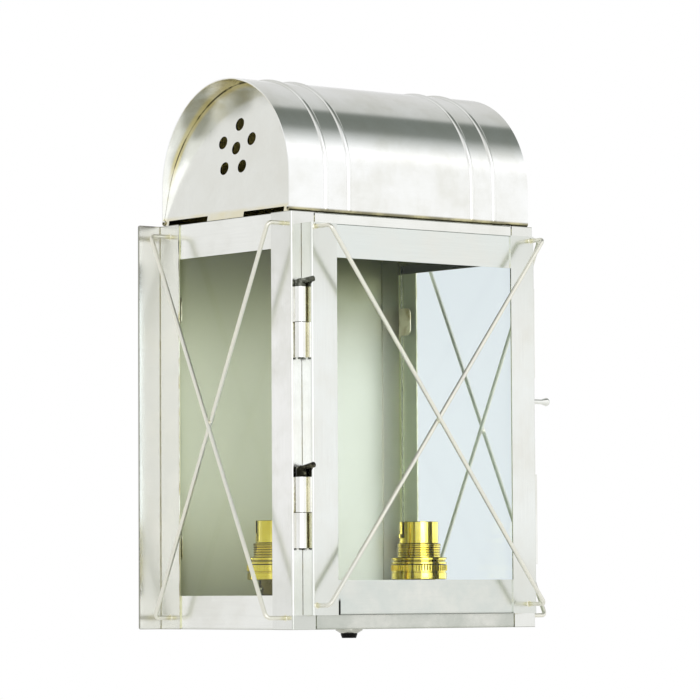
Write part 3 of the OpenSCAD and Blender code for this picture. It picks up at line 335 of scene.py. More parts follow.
def matt_inside(material):
    """Makes a rear post's inside rougher still, and its side flange matt olive."""
    tree = material.node_tree
    shader = tree.nodes["Principled BSDF"]
    place = next(n for n in tree.nodes if n.type == "TEX_COORD").outputs["Object"]
    body = inside_body(tree, place, HALF_SHEET)
    across = add_node(tree, "ShaderNodeSeparateXYZ", None, {0: place}).outputs["X"]
    side = add_node(tree, "ShaderNodeMath", {"operation": "ABSOLUTE"}, {0: across})
    side = add_node(
        tree, "ShaderNodeMath", {"operation": "GREATER_THAN"}, {0: side, 1: BODY_SIDE - HALF_SHEET}
    )
    share = add_node(tree, "ShaderNodeMath", {"operation": "MULTIPLY"}, {0: side, 1: body})
    share = add_node(tree, "ShaderNodeMath", {"operation": "MULTIPLY"}, {0: share, 1: 0.9})
    plated = shader.inputs["Base Color"].links[0].from_socket
    whole = add_node(tree, "ShaderNodeMix", COLOURS, {0: share, 6: plated, 7: linear("EDF0C4")})
    tree.links.new(whole.outputs[2], shader.inputs["Base Color"])
    matt = add_node(tree, "ShaderNodeMapRange", None, {0: share, 3: 1.0, 4: 0.5})
    tree.links.new(matt.outputs[0], shader.inputs["Metallic"])
    rough = shader.inputs["Roughness"].links[0].from_socket
    rough = add_node(
        tree, "ShaderNodeMath", {"operation": "MULTIPLY_ADD"}, {0: body, 1: 0.2, 2: rough}
    )
    tree.links.new(rough.outputs[0], shader.inputs["Roughness"])
    return material


def dull_foot(material):
    """Dulls the left front post's foot under the door to the sill's grey."""
    tree = material.node_tree
    shader = tree.nodes["Principled BSDF"]
    place = next(n for n in tree.nodes if n.type == "TEX_COORD").outputs["Object"]
    parts = add_node(tree, "ShaderNodeSeparateXYZ", None, {0: place}).outputs
    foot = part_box("door_rail_bottom")[0].z
    low = add_node(
        tree,
        "ShaderNodeMapRange",
        SMOOTH,
        {0: parts["Z"], 1: foot - 0.0004, 2: foot + 0.0004, 3: 0.6, 4: 0.0},
    )
    front = add_node(tree, "ShaderNodeMath", {"operation": "LESS_THAN"}, {0: parts["Y"], 1: BODY_FRONT})
    share = add_node(tree, "ShaderNodeMath", {"operation": "MULTIPLY"}, {0: low, 1: front})
    plated = shader.inputs["Base Color"].links[0].from_socket
    whole = add_node(tree, "ShaderNodeMix", COLOURS, {0: share, 6: plated, 7: SILL_CLEAN})
    tree.links.new(whole.outputs[2], shader.inputs["Base Color"])
    return material


SILL_CLEAN = linear("BEC2BA")
POST_CLEAN = linear("FAFAF8")
POST_REAR = linear("DCDDD7")
POST_INSIDE = linear("F6F5E6")
POST_DARK = linear("B5AF76")
for order, side in enumerate(("left", "right")):
    front = plated_sheet(
        f"plated_sheet_front_post_{side}",
        2 + order,
        clean=POST_CLEAN,
        inside=POST_DARK,
        ends=0.4,
        lap=HALF_SHEET,
    )
    dress(grey_edge_lines(front), f"post_front_{side}")
    rear = plated_sheet(
        f"plated_sheet_rear_post_{side}",
        4 + order,
        clean=POST_REAR,
        inside=POST_INSIDE,
        tarnish=0.7,
        lap=HALF_SHEET,
    )
    dress(matt_inside(dark_seam(grey_edge_lines(rear))), f"post_rear_{side}")
    rails = plated_sheet(f"plated_sheet_side_rails_{side}", 6 + order, ALONG_Y, inside=PLATE_HIDDEN)
    dress(grey_edge_lines(rails), f"rail_top_{side}", f"rail_bottom_{side}")
dull_foot(nodes["post_front_left"].data.materials[0])
dress(plated_sheet("plated_sheet_header", 8, ALONG_X, inside=PLATE_HIDDEN), "header")
sill = plated_sheet("plated_sheet_sill", 9, ALONG_X, clean=SILL_CLEAN, tarnish=0.2)
dress(grey_edge_lines(sill), "sill")
dress(plated_sheet("plated_sheet_floor", 10, ALONG_X, 0.32), "floor_plate", "lamp_bracket")
dress(plated_sheet("plated_rivets", 11), "bracket_rivets")

# Roof and gables
# One sheet bent to a barrel with four beads rolled round it and a small hem rolled along
# each lower edge, soldered over two leaning gable plates with drilled vents.

ROOF_BEAD = 0.0012
ROOF_SHEET = 0.0009
roof_low, roof_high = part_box("roof")
roof_radius = (roof_high.y - roof_low.y) / 2 - ROOF_BEAD
roof_middle = (roof_high.y + roof_low.y) / 2
arch_height = roof_high.z - ROOF_BEAD - roof_radius
gable_foot = -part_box("gable_left")[0].x
gable_head = -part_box("gable_left")[1].x
# Bare brass, painted darker still as the shade inside the closed roof.
BARE_BRASS_AND_SHADE = linear("4F4724")


def under_the_roof(tree, place):
    """How far a point is from the arch's axis, how high it is over it, and 1 in the closed
    space between the two leaning gables."""
    parts = add_node(tree, "ShaderNodeSeparateXYZ", None, {0: place}).outputs
    aside = add_node(
        tree, "ShaderNodeMath", {"operation": "SUBTRACT"}, {0: parts["Y"], 1: roof_middle}
    )
    rise = add_node(
        tree, "ShaderNodeMath", {"operation": "SUBTRACT"}, {0: parts["Z"], 1: arch_height}
    )
    rise = add_node(tree, "ShaderNodeMath", {"operation": "MAXIMUM"}, {0: rise, 1: 0.0})
    across = add_node(tree, "ShaderNodeMath", {"operation": "MULTIPLY"}, {0: aside, 1: aside})
    square = add_node(
        tree, "ShaderNodeMath", {"operation": "MULTIPLY_ADD"}, {0: rise, 1: rise, 2: across}
    )
    out = add_node(tree, "ShaderNodeMath", {"operation": "SQRT"}, {0: square})
    gable_x = add_node(
        tree,
        "ShaderNodeMapRange",
        None,
        {0: parts["Z"], 1: roof_low.z, 2: roof_high.z, 3: gable_foot - 0.0005, 4: gable_head},
    )
    side = add_node(tree, "ShaderNodeMath", {"operation": "ABSOLUTE"}, {0: parts["X"]})
    closed = add_node(tree, "ShaderNodeMath", {"operation": "LESS_THAN"}, {0: side, 1: gable_x})
    return out, rise, closed


def roof_sheet(name, seed, buffed, roughness):
    """The roof's plated sheet. Under the roof the buff never reached: the rim past the
    gables is straw coloured towards its top, partly tarnish and partly painted reflection,
    and the closed space is bare olive brown, painted darker as its shade. The hem's lower
    curl is straw and dark olive, partly tarnish and partly painted shade under the curl."""
    material = plated_sheet(name, seed, buffed, roughness, 0.00012, linear("F9FAF9"), grain=0.25)
    tree = material.node_tree
    shader = tree.nodes["Principled BSDF"]
    place = next(n for n in tree.nodes if n.type == "TEX_COORD").outputs["Object"]
    out, rise, closed = under_the_roof(tree, place)
    inner = add_node(
        tree,
        "ShaderNodeMath",
        {"operation": "LESS_THAN"},
        {0: out, 1: roof_radius - ROOF_SHEET / 2},
    )
    plated = shader.inputs["Base Color"].links[0].from_socket
    stains = add_node(
        tree, "ShaderNodeTexNoise", None, {"Vector": place, "Scale": 70.0, "Detail": 4.0}
    )
    blotchy = add_node(
        tree, "ShaderNodeMapRange", SMOOTH, {0: stains, 1: 0.35, 2: 0.62, 3: 0.35, 4: 1.0}
    )
    # The rim's straw colour is partly tarnish and partly painted reflection.
    rim = add_node(
        tree,
        "ShaderNodeMapRange",
        SMOOTH,
        {0: rise, 1: roof_radius * 0.45, 2: roof_radius, 3: 0.05, 4: 0.65},
    )
    rim = add_node(tree, "ShaderNodeMath", {"operation": "MULTIPLY"}, {0: rim, 1: blotchy})
    up = add_node(tree, "ShaderNodeSeparateXYZ", None, {0: place}).outputs["Z"]
    # The hem's lower curl is painted straw and dark olive, partly tarnish and partly shade under the curl.
    hem = add_node(
        tree,
        "ShaderNodeMapRange",
        SMOOTH,
        {0: up, 1: roof_low.z + 0.0016, 2: roof_low.z + 0.003, 3: 0.85, 4: 0.0},
    )
    hem_stain_and_shade = add_node(
        tree, "ShaderNodeMix", COLOURS, {0: blotchy, 6: linear("D9CF95"), 7: linear("6E6638")}
    )
    plated = add_node(tree, "ShaderNodeMix", COLOURS, {0: hem, 6: plated, 7: hem_stain_and_shade})
    rim = add_node(tree, "ShaderNodeMath", {"operation": "MULTIPLY"}, {0: rim, 1: inner})
    colour = add_node(tree, "ShaderNodeMix", COLOURS, {0: rim, 6: plated, 7: linear("BDB27C")})
    dark = add_node(tree, "ShaderNodeMath", {"operation": "MULTIPLY"}, {0: inner, 1: closed})
    colour = add_node(tree, "ShaderNodeMix", COLOURS, {0: dark, 6: colour, 7: BARE_BRASS_AND_SHADE})
    tree.links.new(colour.outputs[2], shader.inputs["Base Color"])
    rough = shader.inputs["Roughness"].links[0].from_socket
    rough = add_node(
        tree, "ShaderNodeMath", {"operation": "MULTIPLY_ADD"}, {0: dark, 1: 0.3, 2: rough}
    )
    tree.links.new(rough.outputs[0], shader.inputs["Roughness"])
    return material


dress(roof_sheet("plated_sheet_roof", 12, ALONG_X, 0.14), "roof")


def gable_sheet(name, seed, inward):
    """A gable's plated sheet: bare olive brown on its inner face and in its holes, painted
    darker there as the shade of the closed roof, with grey smudges within 20 mm of the arch
    painted as the reflection of the roof's rim, gold along the joints, and a dark broken line
    painted as shade where solder didn't fill the joint. inward is the inner face's way along X."""
    material = plated_sheet(name, seed, ALONG_Z, 0.17, 0.0003, linear("ECEDE8"), tarnish=0.5)
    tree = material.node_tree
    shader = tree.nodes["Principled BSDF"]
    place = next(n for n in tree.nodes if n.type == "TEX_COORD").outputs["Object"]
    facing = add_node(tree, "ShaderNodeTexCoord").outputs["Normal"]
    across = add_node(tree, "ShaderNodeSeparateXYZ", None, {0: facing}).outputs["X"]
    inner = add_node(
        tree, "ShaderNodeMath", {"operation": "COMPARE"}, {0: across, 1: inward, 2: 1.5}
    )
    colour = shader.inputs["Base Color"].links[0].from_socket
    out, rise, closed = under_the_roof(tree, place)
    blots = add_node(
        tree,
        "ShaderNodeTexNoise",
        SEEDED,
        {"Vector": place, "W": seed + 0.4, "Scale": 34.0, "Detail": 1.0},
    )
    gaps = add_node(
        tree,
        "ShaderNodeTexNoise",
        SEEDED,
        {"Vector": place, "W": seed + 3.1, "Scale": 60.0, "Detail": 2.0},
    )
    # Grey smudges are the rim's painted reflection, the gold is solder tarnish, and the dark broken line is
    # painted shade in the unfilled joint.
    for pattern, low, high, reach, most, stain in (
        (blots, 0.4, 0.72, 0.03, 0.85, linear("9C9E92")),
        (blots, 0.3, 0.55, 0.005, 0.7, linear("C9BC7A")),
        (gaps, 0.48, 0.56, 0.0009, 0.8, PLATE_SHADE),
    ):
        where = add_node(tree, "ShaderNodeMapRange", SMOOTH, {0: pattern, 1: low, 2: high})
        near = add_node(
            tree,
            "ShaderNodeMapRange",
            SMOOTH,
            {0: out, 1: roof_radius - ROOF_SHEET - reach, 2: roof_radius - ROOF_SHEET - reach / 3, 4: most},
        )
        high_up = add_node(
            tree, "ShaderNodeMapRange", SMOOTH, {0: rise, 1: 0.0, 2: roof_radius * 0.3}
        )
        share = add_node(tree, "ShaderNodeMath", {"operation": "MULTIPLY"}, {0: where, 1: near})
        share = add_node(tree, "ShaderNodeMath", {"operation": "MULTIPLY"}, {0: share, 1: high_up})
        colour = add_node(tree, "ShaderNodeMix", COLOURS, {0: share, 6: colour, 7: stain})
    up = add_node(tree, "ShaderNodeSeparateXYZ", None, {0: place}).outputs["Z"]
    foot = add_node(
        tree,
        "ShaderNodeMapRange",
        SMOOTH,
        {0: up, 1: roof_low.z + 0.003, 2: roof_low.z + 0.006, 3: 0.65, 4: 0.0},
    )
    patchy = add_node(tree, "ShaderNodeMapRange", SMOOTH, {0: gaps, 1: 0.3, 2: 0.6, 3: 0.3, 4: 1.0})
    foot = add_node(tree, "ShaderNodeMath", {"operation": "MULTIPLY"}, {0: foot, 1: patchy})
    colour = add_node(tree, "ShaderNodeMix", COLOURS, {0: foot, 6: colour, 7: linear("E8DFB9")})
    colour = add_node(tree, "ShaderNodeMix", COLOURS, {0: inner, 6: colour, 7: BARE_BRASS_AND_SHADE})
    tree.links.new(colour.outputs[2], shader.inputs["Base Color"])
    return material


dress(gable_sheet("plated_sheet_gable_left", 13, 1), "gable_left")
dress(gable_sheet("plated_sheet_gable_right", 14, -1), "gable_right")

# Panes and their clips
# Plain 3 mm window glass with cut edges, faintly green, dropped in behind the frame and held
# by clips bent from offcuts of the sheet.


GLASS_GLEAM = linear("606A58")


def window_glass(name, across):
    """Float glass: clear and faintly blue from the front, and dark green where its cut edges
    show its depth; across is the pane's thin direction. Its own gleam is faint, as if it
    faced a dark wall. Lamp rays pass through it, so that what lies behind isn't darkened."""
    material, tree, shader, place = new_material(
        name,
        Roughness=0.0,
        IOR=1.5,
        Specular_IOR_Level=0.08,
        Specular_Tint=GLASS_GLEAM,
        Transmission_Weight=1.0,
    )
    facing = add_node(tree, "ShaderNodeTexCoord").outputs["Normal"]
    thin = add_node(tree, "ShaderNodeSeparateXYZ", None, {0: facing}).outputs[across]
    square = add_node(tree, "ShaderNodeMath", {"operation": "MULTIPLY"}, {0: thin, 1: thin})
    colour = add_node(
        tree,
        "ShaderNodeMix",
        COLOURS,
        {0: square, 6: linear("2C5A40"), 7: linear("F9FDFE")},
    )
    tree.links.new(colour.outputs[2], shader.inputs["Base Color"])
    clear = add_node(tree, "ShaderNodeBsdfTransparent", None, {"Color": linear("F2F6F5")})
    lamp_ray = add_node(tree, "ShaderNodeLightPath").outputs["Is Shadow Ray"]
    both = add_node(tree, "ShaderNodeMixShader", None, {0: lamp_ray, 1: shader, 2: clear})
    tree.links.new(both.outputs[0], tree.nodes["Material Output"].inputs["Surface"])
    return material


dress(window_glass("window_glass_sides", "X"), "pane_left", "pane_right")
dress(window_glass("window_glass_door", "Y"), "door_pane")


def raw_clip(name, seed):
    """An offcut of the sheet, bent and soldered on: creamy, with the flux's brown stain
    in patches, and never buffed."""
    material, tree, shader, place = new_material(name, Metallic=1.0, Roughness=0.36)
    stains = add_node(
        tree,
        "ShaderNodeTexNoise",
        SEEDED,
        {"Vector": place, "W": seed, "Scale": 130.0, "Detail": 4.0},
    )
    share = add_node(tree, "ShaderNodeMapRange", SMOOTH, {0: stains, 1: 0.45, 2: 0.7})
    colour = add_node(
        tree, "ShaderNodeMix", COLOURS, {0: share, 6: linear("EDE8CC"), 7: linear("B5AA76")}
    )
    tree.links.new(colour.outputs[2], shader.inputs["Base Color"])
    lumpy = add_node(tree, "ShaderNodeBump", None, {"Height": stains, "Distance": 0.0002})
    tree.links.new(lumpy.outputs[0], shader.inputs["Normal"])
    return material


dress(raw_clip("plated_clips", 15), "pane_clips", "door_clips")

# Door
# A tray of four folded strips, soldered at the corners, with its own pane and clips. The
# joint at the lower left corner was left unfilled over its last 11 mm.

DOOR_CLEAN = linear("E2E7E3")
DOOR_LOW = linear("D2D8D3")
OPEN_JOINT = 0.011
JOINT_WIDTH = 0.0022
door_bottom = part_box("door_rail_bottom")[0].z
stile_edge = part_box("door_stile_left")[1].x
for order, side in enumerate(("left", "right")):
    stile = plated_sheet(
        f"plated_sheet_door_stile_{side}",
        16 + order,
        clean=linear("EDF0ED"),
        inside=PLATE_HIDDEN,
        ends=0.5,
    )
    dress(stile, f"door_stile_{side}")
top_rail = plated_sheet("plated_sheet_door_rail_top", 18, ALONG_X, clean=DOOR_CLEAN, inside=PLATE_HIDDEN)
dress(top_rail, "door_rail_top")


def with_open_joint(material):
    """Adds to the bottom rail's sheet the unfilled joint beside the left stile, painted dark as
    its shade, and a painted shadow along the rail's lower edge. The stile hides the first
    0.8 mm of the joint's width."""
    tree = material.node_tree
    shader = tree.nodes["Principled BSDF"]
    place = next(n for n in tree.nodes if n.type == "TEX_COORD").outputs["Object"]
    parts = add_node(tree, "ShaderNodeSeparateXYZ", None, {0: place}).outputs
    # The open joint's gap is painted dark as its shade.
    beside = add_node(
        tree,
        "ShaderNodeMapRange",
        SMOOTH,
        {0: parts["X"], 1: stile_edge + JOINT_WIDTH, 2: stile_edge + JOINT_WIDTH + 0.0003, 3: 1.0, 4: 0.0},
    )
    low = add_node(
        tree,
        "ShaderNodeMapRange",
        SMOOTH,
        {0: parts["Z"], 1: door_bottom + OPEN_JOINT - 0.003, 2: door_bottom + OPEN_JOINT, 3: 1.0, 4: 0.0},
    )
    past = add_node(
        tree, "ShaderNodeMath", {"operation": "GREATER_THAN"}, {0: parts["X"], 1: stile_edge - 0.0002}
    )
    share = add_node(tree, "ShaderNodeMath", {"operation": "MULTIPLY"}, {0: beside, 1: low})
    share = add_node(tree, "ShaderNodeMath", {"operation": "MULTIPLY"}, {0: share, 1: past})
    # A painted shadow along the rail's lower edge.
    edge_shadow = add_node(
        tree,
        "ShaderNodeMapRange",
        SMOOTH,
        {0: parts["Z"], 1: door_bottom + 0.0003, 2: door_bottom + 0.0007, 3: 0.75, 4: 0.0},
    )
    share = add_node(tree, "ShaderNodeMath", {"operation": "MAXIMUM"}, {0: share, 1: edge_shadow})
    plated = shader.inputs["Base Color"].links[0].from_socket
    whole = add_node(tree, "ShaderNodeMix", COLOURS, {0: share, 6: plated, 7: linear("1A1C16")})
    tree.links.new(whole.outputs[2], shader.inputs["Base Color"])
    return material


low_rail = plated_sheet("plated_sheet_door_rail_bottom", 19, ALONG_X, clean=DOOR_LOW, inside=PLATE_HIDDEN)
dress(with_open_joint(low_rail), "door_rail_bottom")

# Guards
# Crossed pairs of hard drawn wire with bent ends, soldered to the frame and where they
# cross. The solder wets the sheet in a small cone round each foot.

WIRE_RADIUS = 0.00135
side_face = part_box("post_front_right")[1].x
door_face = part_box("door_stile_left")[0].y


def guard_wire(name, seed, part, bare, soldered):
    """Drawn wire, plated and buffed with the frame: pale, straw coloured near its feet, and
    greenish grey and less metallic on the side that faces the frame. part is the way out
    from the frame."""
    material = plated_sheet(name, seed, ALONG_Z, 0.34, 0.0, linear("EFEDE0"), tarnish=0.5)
    tree = material.node_tree
    shader = tree.nodes["Principled BSDF"]
    place = next(n for n in tree.nodes if n.type == "TEX_COORD").outputs["Object"]
    parts = add_node(tree, "ShaderNodeSeparateXYZ", None, {0: place}).outputs
    out = add_node(tree, "ShaderNodeMath", {"operation": "ABSOLUTE"}, {0: parts[part]})
    share = add_node(
        tree, "ShaderNodeMapRange", SMOOTH, {0: out, 1: soldered, 2: bare, 3: 0.85, 4: 0.0}
    )
    plated = shader.inputs["Base Color"].links[0].from_socket
    whole = add_node(tree, "ShaderNodeMix", COLOURS, {0: share, 6: plated, 7: linear("E9E4C0")})
    # The side that faces the frame is painted greenish grey and made less metallic.
    facing = add_node(tree, "ShaderNodeTexCoord").outputs["Normal"]
    turned = add_node(tree, "ShaderNodeSeparateXYZ", None, {0: facing}).outputs[part]
    away = add_node(tree, "ShaderNodeMath", {"operation": "MULTIPLY"}, {0: parts[part], 1: turned})
    back = add_node(
        tree, "ShaderNodeMapRange", SMOOTH, {0: away, 1: -0.07, 2: -0.01, 3: 0.8, 4: 0.0}
    )
    whole = add_node(
        tree, "ShaderNodeMix", COLOURS, {0: back, 6: whole.outputs[2], 7: linear("D0D6BE")}
    )
    bare = add_node(tree, "ShaderNodeMapRange", None, {0: back, 3: 1.0, 4: 0.3})
    tree.links.new(bare.outputs[0], shader.inputs["Metallic"])
    tree.links.new(whole.outputs[2], shader.inputs["Base Color"])
    return material


side_guard = guard_wire("drawn_wire_sides", 20, "X", side_face + 0.006, side_face + 0.002)
dress(side_guard, "guard_left", "guard_right")
front_guard = guard_wire("drawn_wire_door", 24, "Y", -door_face + 0.006, -door_face + 0.002)
dress(front_guard, "door_guard")


def soft_solder(name):
    """Tin solder, run on by hand and buffed over: a warm silver, lumpy at 2 mm."""
    material, tree, shader, place = new_material(name, Metallic=1.0, Roughness=0.3)
    lumps = add_node(tree, "ShaderNodeTexNoise", None, {"Vector": place, "Scale": 420.0, "Detail": 2.0})
    share = add_node(tree, "ShaderNodeMapRange", SMOOTH, {0: lumps, 1: 0.4, 2: 0.7})
    colour = add_node(
        tree, "ShaderNodeMix", COLOURS, {0: share, 6: linear("F4F2E6"), 7: linear("E9E4C6")}
    )
    tree.links.new(colour.outputs[2], shader.inputs["Base Color"])
    bump = add_node(tree, "ShaderNodeBump", None, {"Height": lumps, "Distance": 0.0002})
    tree.links.new(bump.outputs[0], shader.inputs["Normal"])
    return material


solder = soft_solder("soft_solder")


def new_tree(name, **sizes):
    """An empty Geometry Nodes tree with a named input for each size, its first node and its
    last node."""
    tree = bpy.data.node_groups.new(name, "GeometryNodeTree")
    tree.interface.new_socket("Geometry", in_out="INPUT", socket_type="NodeSocketGeometry")
    tree.interface.new_socket("Geometry", in_out="OUTPUT", socket_type="NodeSocketGeometry")
    for label, value in sizes.items():
        kind = "NodeSocketInt" if isinstance(value, int) else "NodeSocketFloat"
        socket = tree.interface.new_socket(label, in_out="INPUT", socket_type=kind)
        socket.default_value = value
    return tree, add_node(tree, "NodeGroupInput"), add_node(tree, "NodeGroupOutput")


def plain_mesh(name, tree, points, ways, sizes, body):
    """Runs a tree on bare points, each with its way out, and keeps the result as a plain
    mesh that rides on body."""
    mesh = bpy.data.meshes.new(name + "_points")
    mesh.from_pydata([tuple(p) for p in points], [], [])
    way = mesh.attributes.new("way", "FLOAT_VECTOR", "POINT")
    for item, value in zip(way.data, ways):
        item.vector = value
    carrier = bpy.data.objects.new(name + "_points", mesh)
    bpy.context.scene.collection.objects.link(carrier)
    modifier = carrier.modifiers.new("shape", "NODES")
    modifier.node_group = tree
    for item in tree.interface.items_tree:
        if item.name in sizes and item.in_out == "INPUT":
            modifier[item.identifier] = sizes[item.name]
    graph = bpy.context.evaluated_depsgraph_get()
    result = bpy.data.meshes.new_from_object(carrier.evaluated_get(graph))
    carrier.modifiers.clear()
    bpy.data.objects.remove(carrier)
    result.name = name
    piece = bpy.data.objects.new(name, result)
    bpy.context.scene.collection.objects.link(piece)
    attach(piece, body)
    return piece


def fillet_tree():
    """A cone of solder round a wire's foot: wide and thin on the sheet, hollow in its side,
    closing on the wire. Each one differs a little in size."""
    tree, start, end = new_tree("solder_fillets", Foot=0.0020, Neck=0.0014, Height=0.0007, Seed=4)
    cone = add_node(
        tree,
        "GeometryNodeMeshCone",
        None,
        {
            "Vertices": 28,
            "Side Segments": 8,
            "Radius Top": start.outputs["Neck"],
            "Radius Bottom": start.outputs["Foot"],
            "Depth": start.outputs["Height"],
        },
    )
    place = add_node(tree, "GeometryNodeInputPosition")
    up = add_node(tree, "ShaderNodeSeparateXYZ", None, {0: place}).outputs["Z"]
    share = add_node(tree, "ShaderNodeMath", {"operation": "DIVIDE"}, {0: up, 1: start.outputs["Height"]})
    rest = add_node(tree, "ShaderNodeMath", {"operation": "SUBTRACT"}, {0: 1.0, 1: share})
    hollow = add_node(tree, "ShaderNodeMath", {"operation": "MULTIPLY"}, {0: share, 1: rest})
    pinch = add_node(
        tree, "ShaderNodeMath", {"operation": "MULTIPLY_ADD"}, {0: hollow, 1: -0.75, 2: 1.0}
    )
    narrow = add_node(tree, "ShaderNodeCombineXYZ", None, {0: pinch, 1: pinch, 2: 1.0})
    moved = add_node(tree, "ShaderNodeVectorMath", {"operation": "MULTIPLY"}, {0: place, 1: narrow})
    shaped = add_node(
        tree, "GeometryNodeSetPosition", None, {"Geometry": cone, "Position": moved}
    )
    way = add_node(tree, "GeometryNodeInputNamedAttribute", {"data_type": "FLOAT_VECTOR"}, {0: "way"})
    turned = add_node(tree, "FunctionNodeAlignRotationToVector", {"axis": "Z"}, {"Vector": way})
    size = add_node(
        tree,
        "FunctionNodeRandomValue",
        {"data_type": "FLOAT_VECTOR"},
        {0: (0.85, 0.85, 0.8), 1: (1.15, 1.15, 1.25), "Seed": start.outputs["Seed"]},
    )
    spread = add_node(
        tree,
        "GeometryNodeInstanceOnPoints",
        None,
        {"Points": start, "Instance": shaped, "Rotation": turned, "Scale": size},
    )
    real = add_node(tree, "GeometryNodeRealizeInstances", None, {0: spread})
    coated = add_node(tree, "GeometryNodeSetMaterial", None, {"Geometry": real, "Material": solder})
    tree.links.new(coated.outputs[0], end.inputs[0])
    return tree


def bead_tree():
    """A bead of solder where two wires cross, pulled out along them and a little lumpy."""
    tree, start, end = new_tree("solder_beads", Radius=0.0021, Seed=9)
    ball = add_node(
        tree,
        "GeometryNodeMeshIcoSphere",
        None,
        {"Radius": start.outputs["Radius"], "Subdivisions": 4},
    )
    place = add_node(tree, "GeometryNodeInputPosition")
    lumps = add_node(
        tree,
        "ShaderNodeTexNoise",
        SEEDED,
        {"Vector": place, "W": 2.0, "Scale": 480.0, "Detail": 1.0},
    )
    swell = add_node(tree, "ShaderNodeMapRange", None, {0: lumps, 1: 0.0, 2: 1.0, 3: 0.6, 4: 1.3})
    moved = add_node(tree, "ShaderNodeVectorMath", {"operation": "SCALE"}, {0: place, 3: swell})
    shaped = add_node(
        tree, "GeometryNodeSetPosition", None, {"Geometry": ball, "Position": moved}
    )
    way = add_node(tree, "GeometryNodeInputNamedAttribute", {"data_type": "FLOAT_VECTOR"}, {0: "way"})
    turned = add_node(tree, "FunctionNodeAlignRotationToVector", {"axis": "Z"}, {"Vector": way})
    size = add_node(
        tree,
        "FunctionNodeRandomValue",
        {"data_type": "FLOAT_VECTOR"},
        {0: (0.75, 1.0, 1.0), 1: (0.85, 1.25, 1.15), "Seed": start.outputs["Seed"]},
    )
    spread = add_node(
        tree,
        "GeometryNodeInstanceOnPoints",
        None,
        {"Points": start, "Instance": shaped, "Rotation": turned, "Scale": size},
    )
    real = add_node(tree, "GeometryNodeRealizeInstances", None, {0: spread})
    coated = add_node(tree, "GeometryNodeSetMaterial", None, {"Geometry": real, "Material": solder})
    tree.links.new(coated.outputs[0], end.inputs[0])
    return tree


GUARD_OUT = 0.0137
LOW_RIGHT_FOOT = 0.0854
fillets = fillet_tree()
beads = bead_tree()
low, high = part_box("guard_left")
foot_y = (low.y + WIRE_RADIUS, high.y - WIRE_RADIUS)
foot_z = (low.z + WIRE_RADIUS, high.z - WIRE_RADIUS)
feet = []
crossings = []
for side in (-1, 1):
    feet += [((side * side_face, y, z), (side, 0, 0)) for y in foot_y for z in foot_z]
    crossings.append(((side * (side_face + GUARD_OUT), sum(foot_y) / 2, sum(foot_z) / 2), (side, 0, 0)))
plain_mesh("solder_side_feet", fillets, *zip(*feet), {"Seed": 4}, "lantern_body")
plain_mesh("solder_side_crossings", beads, *zip(*crossings), {"Seed": 9}, "lantern_body")

low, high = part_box("door_guard")
ends = [
    (low.x + WIRE_RADIUS, low.z + WIRE_RADIUS),
    (LOW_RIGHT_FOOT, low.z + WIRE_RADIUS),
    (high.x - WIRE_RADIUS, high.z - WIRE_RADIUS),
    (low.x + WIRE_RADIUS, high.z - WIRE_RADIUS),
]
feet = [((x, door_face, z), (0, -1, 0)) for x, z in ends]
run_a = (Vector(ends[0]), Vector(ends[2]) - Vector(ends[0]))
run_b = (Vector(ends[1]), Vector(ends[3]) - Vector(ends[1]))
between = run_b[0] - run_a[0]
share = between.cross(run_b[1]) / run_a[1].cross(run_b[1])
middle = run_a[0] + share * run_a[1]
crossings = [((middle.x, door_face - GUARD_OUT, middle.y), (0, -1, 0))]
plain_mesh("solder_door_feet", fillets, *zip(*feet), {"Seed": 5}, "door")
plain_mesh("solder_door_crossing", beads, *zip(*crossings), {"Seed": 9}, "door")

# Hinges
# Rolled knuckles on short leaves, and loose steel pins with bent heads, painted dark as the
# reflection of a dark room.


def hinge_metal(name, seed):
    """Plated like the frame, with the knuckles' side that faces the door painted olive as the
    reflection of the dark gap beside them."""
    material = plated_sheet(name, seed, roughness=0.2, clean=linear("FAFAF7"), tarnish=0.1)
    tree = material.node_tree
    shader = tree.nodes["Principled BSDF"]
    facing = add_node(tree, "ShaderNodeTexCoord").outputs["Normal"]
    across = add_node(tree, "ShaderNodeSeparateXYZ", None, {0: facing}).outputs["X"]
    # Painted reflection of the dark gap on the knuckles' side that faces the door.
    shut = add_node(tree, "ShaderNodeMapRange", SMOOTH, {0: across, 1: 0.1, 2: 0.55, 4: 0.6})
    plated = shader.inputs["Base Color"].links[0].from_socket
    whole = add_node(tree, "ShaderNodeMix", COLOURS, {0: shut, 6: plated, 7: linear("D3CC9A")})
    tree.links.new(whole.outputs[2], shader.inputs["Base Color"])
    return material


dress(hinge_metal("plated_hinges", 21), "hinge_body_halves", "hinge_door_halves")


def steel_painted_dark(name, dark, worn, roughness):
    """Mild steel wire, painted dark as the reflection of a dark room, and rubbed bright in
    places by fingers.
    """
    material, tree, shader, place = new_material(name, Metallic=1.0)
    wear = add_node(
        tree, "ShaderNodeTexNoise", None, {"Vector": place, "Scale": 260.0, "Detail": 4.0}
    )
    rubbed = add_node(tree, "ShaderNodeMapRange", SMOOTH, {0: wear, 1: 0.5, 2: 0.72})
    colour = add_node(tree, "ShaderNodeMix", COLOURS, {0: rubbed, 6: dark, 7: worn})
    tree.links.new(colour.outputs[2], shader.inputs["Base Color"])
    rough = add_node(
        tree, "ShaderNodeMapRange", None, {0: rubbed, 3: roughness, 4: roughness * 0.75}
    )
    tree.links.new(rough.outputs[0], shader.inputs["Roughness"])
    return material


# The lower pin is painted darker than the upper one, as it mirrors more of the dark room.
upper_steel = steel_painted_dark("steel_upper_pin_painted_dark", linear("55574E"), linear("B5B7AC"), 0.22)
lower_steel = steel_painted_dark("steel_lower_pin_painted_darker", linear("1E1D16"), linear("7B7964"), 0.2)
dress(upper_steel, "hinge_pin_upper")
dress(lower_steel, "hinge_pin_lower")

# Latch
# A leaf spring between two riveted strips on the door's edge, with a turned knob.

